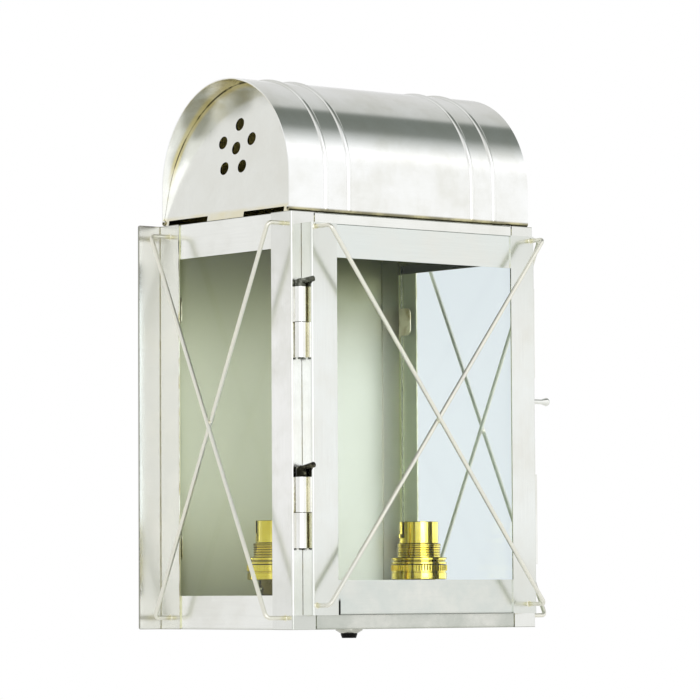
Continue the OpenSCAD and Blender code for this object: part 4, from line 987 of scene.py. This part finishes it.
dress(
    plated_sheet("plated_latch", 22, roughness=0.2),
    "edge_strips",
    "latch_rivets",
    "latch_spring_foot",
    "latch_spring",
    "latch_knob",
    "latch_keeper",
)

# Lampholders
# Pressed and turned brass bayonet holders with knurled rings, on hollow nipples.


THREAD_PITCH = 0.0016
skirt_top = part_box("barrel_left")[1].z - 0.0144
ring_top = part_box("shade_rings_left")[1].z
cup_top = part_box("lamp_cap_left")[1].z


def turned_brass(name, seed, inward, axis=(0.0, 0.0), bore=0.0):
    """Lacquered brass, turned and pressed: fine rings from the lathe 0.4 mm apart, and a bright
    greenish yellow on the faces. The thread's roots, the joints between the parts and the
    grooves are painted brown as their shade. The thread's real pitch is 1.2 mm, and its lines
    are drawn 1.6 mm apart. The side next to the other lamp, which inward gives along X, is
    painted darker gold as the reflection of that lamp. Nearer to the axis than bore the brass
    is painted dark."""
    material, tree, shader, place = new_material(name, Metallic=1.0)
    stretched = add_node(tree, "ShaderNodeMapping", None, {"Vector": place, "Scale": (60, 60, 2600)})
    rings = add_node(
        tree,
        "ShaderNodeTexNoise",
        SEEDED,
        {"Vector": stretched, "W": seed, "Scale": 1.0, "Detail": 2.0},
    )
    clouds = add_node(
        tree,
        "ShaderNodeTexNoise",
        SEEDED,
        {"Vector": place, "W": seed + 5, "Scale": 90.0, "Detail": 4.0},
    )
    groove = add_node(tree, "ShaderNodeAmbientOcclusion", {"samples": 8}, {"Distance": 0.0012})
    share = add_node(tree, "ShaderNodeMapRange", SMOOTH, {0: clouds, 1: 0.35, 2: 0.7})
    colour = add_node(
        tree, "ShaderNodeMix", COLOURS, {0: share, 6: linear("F0DE72"), 7: linear("E4CE54")}
    )
    # Painted shade in the grooves, from ambient occlusion.
    occlusion_shade = add_node(
        tree,
        "ShaderNodeMapRange",
        SMOOTH,
        {0: groove.outputs["AO"], 1: 0.35, 2: 0.85, 3: 0.95, 4: 0.0},
    )
    # The side facing the other lamp is painted darker gold as the reflection of that lamp.
    facing = add_node(tree, "ShaderNodeTexCoord").outputs["Normal"]
    across = add_node(tree, "ShaderNodeSeparateXYZ", None, {0: facing}).outputs["X"]
    across = add_node(tree, "ShaderNodeMath", {"operation": "MULTIPLY"}, {0: across, 1: inward})
    other_lamp_reflection = add_node(tree, "ShaderNodeMapRange", SMOOTH, {0: across, 1: 0.7, 2: 0.95, 4: 0.4})
    colour = add_node(tree, "ShaderNodeMix", COLOURS, {0: other_lamp_reflection, 6: colour, 7: linear("B09A34")})
    up = add_node(tree, "ShaderNodeSeparateXYZ", None, {0: place}).outputs["Z"]
    # Painted shade in the thread's roots and at the joints between the parts.
    turns = add_node(
        tree, "ShaderNodeMath", {"operation": "MULTIPLY"}, {0: up, 1: 2 * math.pi / THREAD_PITCH}
    )
    turns = add_node(tree, "ShaderNodeMath", {"operation": "SINE"}, {0: turns})
    groove_shade = add_node(tree, "ShaderNodeMapRange", SMOOTH, {0: turns, 1: -0.2, 2: 0.9, 4: 0.8})
    # Inside the bore the brass is painted dark.
    aside = add_node(
        tree, "ShaderNodeVectorMath", {"operation": "SUBTRACT"}, {0: place, 1: (*axis, 0.0)}
    )
    aside = add_node(
        tree, "ShaderNodeVectorMath", {"operation": "MULTIPLY"}, {0: aside, 1: (1.0, 1.0, 0.0)}
    )
    out = add_node(tree, "ShaderNodeVectorMath", {"operation": "LENGTH"}, {0: aside}).outputs["Value"]
    hollow = add_node(tree, "ShaderNodeMath", {"operation": "LESS_THAN"}, {0: out, 1: bore})
    hollow = add_node(tree, "ShaderNodeMath", {"operation": "MULTIPLY"}, {0: hollow, 1: 0.9})
    colour = add_node(tree, "ShaderNodeMix", COLOURS, {0: hollow, 6: colour, 7: linear("2E260C")})
    thread = add_node(
        tree,
        "ShaderNodeMath",
        {"operation": "COMPARE"},
        {0: up, 1: (skirt_top + ring_top) / 2, 2: (skirt_top - ring_top) / 2 - 0.0004},
    )
    groove_shade = add_node(tree, "ShaderNodeMath", {"operation": "MULTIPLY"}, {0: groove_shade, 1: thread})
    for joint in (skirt_top, ring_top, (ring_top + cup_top) / 2, cup_top):
        joint_shade = add_node(
            tree, "ShaderNodeMath", {"operation": "COMPARE"}, {0: up, 1: joint, 2: 0.0004}
        )
        joint_shade = add_node(tree, "ShaderNodeMath", {"operation": "MULTIPLY"}, {0: joint_shade, 1: 0.85})
        groove_shade = add_node(tree, "ShaderNodeMath", {"operation": "MAXIMUM"}, {0: groove_shade, 1: joint_shade})
    colour = add_node(tree, "ShaderNodeMix", COLOURS, {0: groove_shade, 6: colour, 7: linear("54440E")})
    colour = add_node(tree, "ShaderNodeMix", COLOURS, {0: occlusion_shade, 6: colour, 7: linear("5A4A12")})
    tree.links.new(colour.outputs[2], shader.inputs["Base Color"])
    rough = add_node(tree, "ShaderNodeMapRange", None, {0: clouds, 1: 0.3, 2: 0.8, 3: 0.09, 4: 0.18})
    tree.links.new(rough.outputs[0], shader.inputs["Roughness"])
    fine = add_node(tree, "ShaderNodeBump", None, {"Height": rings, "Distance": 0.00002})
    tree.links.new(fine.outputs[0], shader.inputs["Normal"])
    return material


def knurl_tree(brass):
    """Half round ridges stood round a band, as a knurling wheel leaves them. The real ones
    are 0.8 mm apart, and these are 1.8 mm apart, so that they show."""
    tree, start, end = new_tree("knurling", Band=0.0182, Ridges=64, Ridge=0.0006, Height=0.0036)
    ring = add_node(
        tree,
        "GeometryNodeMeshCircle",
        None,
        {"Vertices": start.outputs["Ridges"], "Radius": start.outputs["Band"]},
    )
    ridge = add_node(
        tree,
        "GeometryNodeMeshCylinder",
        None,
        {"Vertices": 6, "Radius": start.outputs["Ridge"], "Depth": start.outputs["Height"]},
    )
    stood = add_node(tree, "GeometryNodeInstanceOnPoints", None, {"Points": ring, "Instance": ridge})
    placed = add_node(
        tree, "GeometryNodeInstanceOnPoints", None, {"Points": start, "Instance": stood}
    )
    real = add_node(tree, "GeometryNodeRealizeInstances", None, {0: placed})
    coated = add_node(tree, "GeometryNodeSetMaterial", None, {"Geometry": real, "Material": brass})
    tree.links.new(coated.outputs[0], end.inputs[0])
    return tree


BORE = 0.0126
CUP_EDGE = 0.0004
KNURL_HEIGHT = 0.0036
KNURL_SUNK = 0.0003
for order, side in enumerate(("left", "right")):
    low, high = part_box(f"lamp_cap_{side}")
    axis = ((low.x + high.x) / 2, (low.y + high.y) / 2)
    brass = turned_brass(f"turned_brass_{side}", 3 + order, 1 - 2 * order, axis, BORE)
    dress(
        brass,
        f"lamp_cap_{side}",
        f"barrel_{side}",
        f"shade_rings_{side}",
        f"nipple_{side}",
        f"plunger_{side}_a",
        f"plunger_{side}_b",
    )
    centre = (*axis, high.z - CUP_EDGE - KNURL_HEIGHT / 2)
    sizes = {"Band": (high.x - low.x) / 2 - KNURL_SUNK, "Height": KNURL_HEIGHT}
    plain_mesh(f"knurling_{side}", knurl_tree(brass), [centre], [(0, 0, 1)], sizes, "lantern_body")


def glazed_porcelain(name):
    """Electrical porcelain: white body under a thin clear glaze, with a few iron specks."""
    material, tree, shader, place = new_material(name, Roughness=0.25, Coat_Weight=0.5)
    specks = add_node(
        tree, "ShaderNodeTexNoise", None, {"Vector": place, "Scale": 900.0, "Detail": 2.0}
    )
    share = add_node(tree, "ShaderNodeMapRange", SMOOTH, {0: specks, 1: 0.68, 2: 0.78})
    colour = add_node(
        tree, "ShaderNodeMix", COLOURS, {0: share, 6: linear("EFEBDF"), 7: linear("B9AC92")}
    )
    tree.links.new(colour.outputs[2], shader.inputs["Base Color"])
    return material


dress(glazed_porcelain("glazed_porcelain"), "insulator_left", "insulator_right", "terminal_block")

# Wiring and cable gland
# Brass nuts and earth stud, insulated leads, and a black nylon gland in a plated flange.

dress(turned_brass("turned_brass_fixings", 9, 0), "nipple_nuts", "earth_stud")


def moulded_plastic(name, dark, light, roughness):
    """Moulded plastic with the fine grain of its mould."""
    material, tree, shader, place = new_material(name, Specular_IOR_Level=0.1)
    grain = add_node(
        tree, "ShaderNodeTexNoise", None, {"Vector": place, "Scale": 700.0, "Detail": 3.0}
    )
    share = add_node(tree, "ShaderNodeMapRange", SMOOTH, {0: grain, 1: 0.3, 2: 0.7})
    colour = add_node(tree, "ShaderNodeMix", COLOURS, {0: share, 6: dark, 7: light})
    tree.links.new(colour.outputs[2], shader.inputs["Base Color"])
    rough = add_node(
        tree, "ShaderNodeMapRange", None, {0: share, 3: roughness - 0.08, 4: roughness + 0.08}
    )
    tree.links.new(rough.outputs[0], shader.inputs["Roughness"])
    return material


nylon = moulded_plastic("moulded_nylon", linear("050505"), linear("0D0D0C"), 0.4)
dress(nylon, "gland_body", "gland_nut")
dress(moulded_plastic("extruded_pvc", linear("5B3D28"), linear("6B4930"), 0.4), "leads")
gland_metal = plated_sheet("plated_gland_flange", 23, roughness=0.16, clean=linear("A9AA9F"))
dress(gland_metal, "gland_flange")

# Floor, lamps, backdrop and camera
# A pale floor a little below the lantern, two wide soft lamps that metal doesn't mirror, and
# a plain white studio with a dimmer ceiling that the roof and the glass do mirror.

FLOOR_DROP = 0.16
FLOOR_RADIUS = 1.6


def pale_floor(name):
    """Matt painted board. The eye sees it near white, under the lantern's own soft shadow,
    and metal mirrors it a little greyer."""
    material, tree, shader, place = new_material(name, Roughness=0.8, Base_Color=linear("E9E9E7"))
    path = add_node(tree, "ShaderNodeLightPath").outputs
    mirrored = add_node(
        tree, "ShaderNodeMath", {"operation": "MULTIPLY"}, {0: path["Is Glossy Ray"], 1: 0.3}
    )
    seen = add_node(
        tree, "ShaderNodeMath", {"operation": "MAXIMUM"}, {0: path["Is Camera Ray"], 1: mirrored}
    )
    seen = add_node(
        tree, "ShaderNodeMath", {"operation": "MAXIMUM"}, {0: seen, 1: path["Is Transmission Ray"]}
    )
    glow = add_node(tree, "ShaderNodeMath", {"operation": "MULTIPLY"}, {0: seen, 1: 0.3})
    lit = add_node(tree, "ShaderNodeEmission", None, {"Strength": glow})
    both = add_node(tree, "ShaderNodeAddShader", None, {0: shader, 1: lit})
    tree.links.new(both.outputs[0], tree.nodes["Material Output"].inputs["Surface"])
    return material


board = bmesh.new()
bmesh.ops.create_circle(board, cap_ends=True, radius=FLOOR_RADIUS, segments=96)
bmesh.ops.translate(board, verts=board.verts, vec=(0, 0, cad_box[0].z - FLOOR_DROP))
floor_mesh = bpy.data.meshes.new("floor")
board.to_mesh(floor_mesh)
board.free()
floor = bpy.data.objects.new("floor", floor_mesh)
bpy.context.scene.collection.objects.link(floor)
floor.data.materials.append(pale_floor("painted_board"))
floor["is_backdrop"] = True


def soft_lamp(name, place, target, size, power):
    """A square soft box that lights the lantern but isn't mirrored in it."""
    lamp = bpy.data.lights.new(name, "AREA")
    lamp.size = size
    lamp.energy = power
    lamp_object = bpy.data.objects.new(name, lamp)
    lamp_object.location = place
    aim = Vector(target) - Vector(place)
    lamp_object.rotation_euler = aim.to_track_quat("-Z", "Y").to_euler()
    lamp_object.visible_glossy = False
    lamp_object.visible_transmission = False
    lamp_object.visible_camera = False
    bpy.context.scene.collection.objects.link(lamp_object)


soft_lamp("key_lamp", (-1.5, -1.8, 1.5), (0, -0.07, 0.0), 1.4, 24)
soft_lamp("fill_lamp", (1.8, -1.4, 0.9), (0, -0.07, 0.0), 1.6, 12)

OVERHEAD = (
    (0, (1.0, 1.0, 1.0)),
    (12, (1.1, 1.1, 1.11)),
    (38, (1.3, 1.3, 1.31)),
    (54, (0.66, 0.68, 0.67)),
    (66, (0.21, 0.23, 0.21)),
    (89, (0.17, 0.19, 0.17)),
    (94, (0.6, 0.61, 0.59)),
    (130, (0.72, 0.72, 0.71)),
    (180, (0.76, 0.76, 0.75)),
)
AROUND = (
    (-180, (0.88, 0.88, 0.87)),
    (-128, (0.92, 0.92, 0.92)),
    (-120, (0.85, 0.86, 0.85)),
    (-74, (0.85, 0.86, 0.85)),
    (-66, (1.27, 1.27, 1.29)),
    (-30, (1.27, 1.27, 1.29)),
    (-26, (2.2, 2.2, 2.25)),
    (-14, (2.2, 2.2, 2.25)),
    (-8, (1.03, 1.03, 1.03)),
    (62, (1.03, 1.03, 1.03)),
    (96, (0.95, 0.95, 0.95)),
    (106, (0.4, 0.41, 0.4)),
    (128, (0.4, 0.41, 0.4)),
    (140, (0.85, 0.85, 0.85)),
    (180, (0.88, 0.88, 0.87)),
)
WITHIN = (
    (-180, (0.88, 0.88, 0.87)),
    (-128, (0.92, 0.92, 0.92)),
    (-120, (0.7, 0.7, 0.36)),
    (-70, (0.7, 0.7, 0.36)),
    (-62, (1.1, 1.1, 1.1)),
    (-31, (1.1, 1.1, 1.1)),
    (-27, (6.0, 6.0, 6.2)),
    (-4, (6.0, 6.0, 6.2)),
    (4, (2.1, 2.1, 2.1)),
    (20, (2.0, 2.0, 2.0)),
    (28, (1.75, 1.75, 1.75)),
    (54, (1.75, 1.75, 1.75)),
    (62, (1.8, 1.8, 1.8)),
    (112, (1.8, 1.8, 1.8)),
    (120, (0.4, 0.41, 0.4)),
    (128, (0.4, 0.41, 0.4)),
    (140, (0.85, 0.86, 0.87)),
    (180, (0.88, 0.88, 0.87)),
)

THROUGH_GLASS = (0.84, 0.86, 0.87, 1.0)


def studio(world):
    """White to the eye, and a little greyer through glass. Metal mirrors a bright front, a dim band
    overhead, and a middling grey above and behind, as in a studio with soft boxes. Nearer
    soft boxes at the front reach only what stands behind the glass."""
    world.use_nodes = True
    tree = world.node_tree
    tree.nodes.clear()
    path = add_node(tree, "ShaderNodeLightPath").outputs
    direction = add_node(tree, "ShaderNodeTexCoord").outputs["Generated"]
    way = add_node(tree, "ShaderNodeSeparateXYZ", None, {0: direction}).outputs
    forward = add_node(tree, "ShaderNodeMath", {"operation": "MULTIPLY"}, {0: way["Y"], 1: -1.0})
    rings = []
    for part, stops in ((way["Z"], OVERHEAD), (way["X"], AROUND), (way["X"], WITHIN)):
        first = stops[0][0]
        span = stops[-1][0] - first
        angle = add_node(tree, "ShaderNodeMath", {"operation": "ARCTAN2"}, {0: part, 1: forward})
        share = add_node(
            tree,
            "ShaderNodeMapRange",
            None,
            {0: angle, 1: math.radians(first), 2: math.radians(first + span)},
        )
        ring = add_node(tree, "ShaderNodeValToRGB", None, {0: share})
        ramp = ring.color_ramp
        while len(ramp.elements) > 1:
            ramp.elements.remove(ramp.elements[-1])
        for order, (degrees, colour) in enumerate(stops):
            position = (degrees - first) / span
            stop = ramp.elements.new(position) if order else ramp.elements[0]
            stop.position = position
            stop.color = (*colour, 1.0)
        rings.append(ring)
    overhead, around, within = rings
    behind = add_node(
        tree, "ShaderNodeMath", {"operation": "GREATER_THAN"}, {0: path["Transmission Depth"], 1: 0.5}
    )
    around = add_node(tree, "ShaderNodeMix", COLOURS, {0: behind, 6: around, 7: within})
    left_top = add_node(
        tree, "ShaderNodeMapRange", SMOOTH, {0: way["X"], 1: -0.5, 2: -0.1, 3: 1.0, 4: 0.0}
    )
    overhead = add_node(
        tree, "ShaderNodeMix", COLOURS, {0: left_top, 6: overhead, 7: (0.84, 0.84, 0.83, 1.0)}
    )
    high = add_node(tree, "ShaderNodeMapRange", SMOOTH, {0: way["Z"], 1: 0.3, 2: 0.5})
    mirrored = add_node(tree, "ShaderNodeMix", COLOURS, {0: high, 6: around, 7: overhead})
    metal = add_node(tree, "ShaderNodeBackground", None, {"Color": mirrored})
    fill = add_node(tree, "ShaderNodeBackground", None, {"Color": (1, 1, 1, 1), "Strength": 0.55})
    backdrop = add_node(
        tree,
        "ShaderNodeMix",
        COLOURS,
        {0: path["Is Transmission Ray"], 6: (1, 1, 1, 1), 7: THROUGH_GLASS},
    )
    white = add_node(tree, "ShaderNodeBackground", None, {"Color": backdrop})
    seen = add_node(
        tree,
        "ShaderNodeMath",
        {"operation": "MAXIMUM"},
        {0: path["Is Camera Ray"], 1: path["Is Transmission Ray"]},
    )
    plain = add_node(tree, "ShaderNodeMixShader", None, {0: seen, 1: fill, 2: white})
    glossy = add_node(
        tree, "ShaderNodeMath", {"operation": "GREATER_THAN"}, {0: path["Glossy Depth"], 1: 0.5}
    )
    whole = add_node(tree, "ShaderNodeMixShader", None, {0: glossy, 1: plain, 2: metal})
    add_node(tree, "ShaderNodeOutputWorld", None, {"Surface": whole})


bpy.context.scene.world = bpy.context.scene.world or bpy.data.worlds.new("studio")
studio(bpy.context.scene.world)

CAMERA_PLACE = Vector((-1.61067, -2.06797, -0.10685))
CAMERA_AZIMUTH = math.radians(38.912)
CAMERA_PITCH = math.radians(3.497)
CAMERA_ROLL = math.radians(-0.313)
CAMERA_LENS = 203.78

camera_data = bpy.data.cameras.new("camera")
camera_data.lens = CAMERA_LENS
camera_data.sensor_width = 36
camera_data.clip_end = 100
camera = bpy.data.objects.new("camera", camera_data)
ahead = Vector(
    (
        math.sin(CAMERA_AZIMUTH) * math.cos(CAMERA_PITCH),
        math.cos(CAMERA_AZIMUTH) * math.cos(CAMERA_PITCH),
        math.sin(CAMERA_PITCH),
    )
)
level = Vector((math.cos(CAMERA_AZIMUTH), -math.sin(CAMERA_AZIMUTH), 0))
upward = level.cross(ahead)
rightward = level * math.cos(CAMERA_ROLL) + upward * math.sin(CAMERA_ROLL)
upward = upward * math.cos(CAMERA_ROLL) - level * math.sin(CAMERA_ROLL)
turn = Matrix((rightward, upward, -ahead)).transposed()
camera.matrix_world = Matrix.Translation(CAMERA_PLACE) @ turn.to_4x4()
bpy.context.scene.collection.objects.link(camera)
bpy.context.scene.camera = camera
bpy.context.scene.view_settings.view_transform = "Standard"

sizes = {"cad": [list(c) for c in cad_box], "visual": [list(c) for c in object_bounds()]}
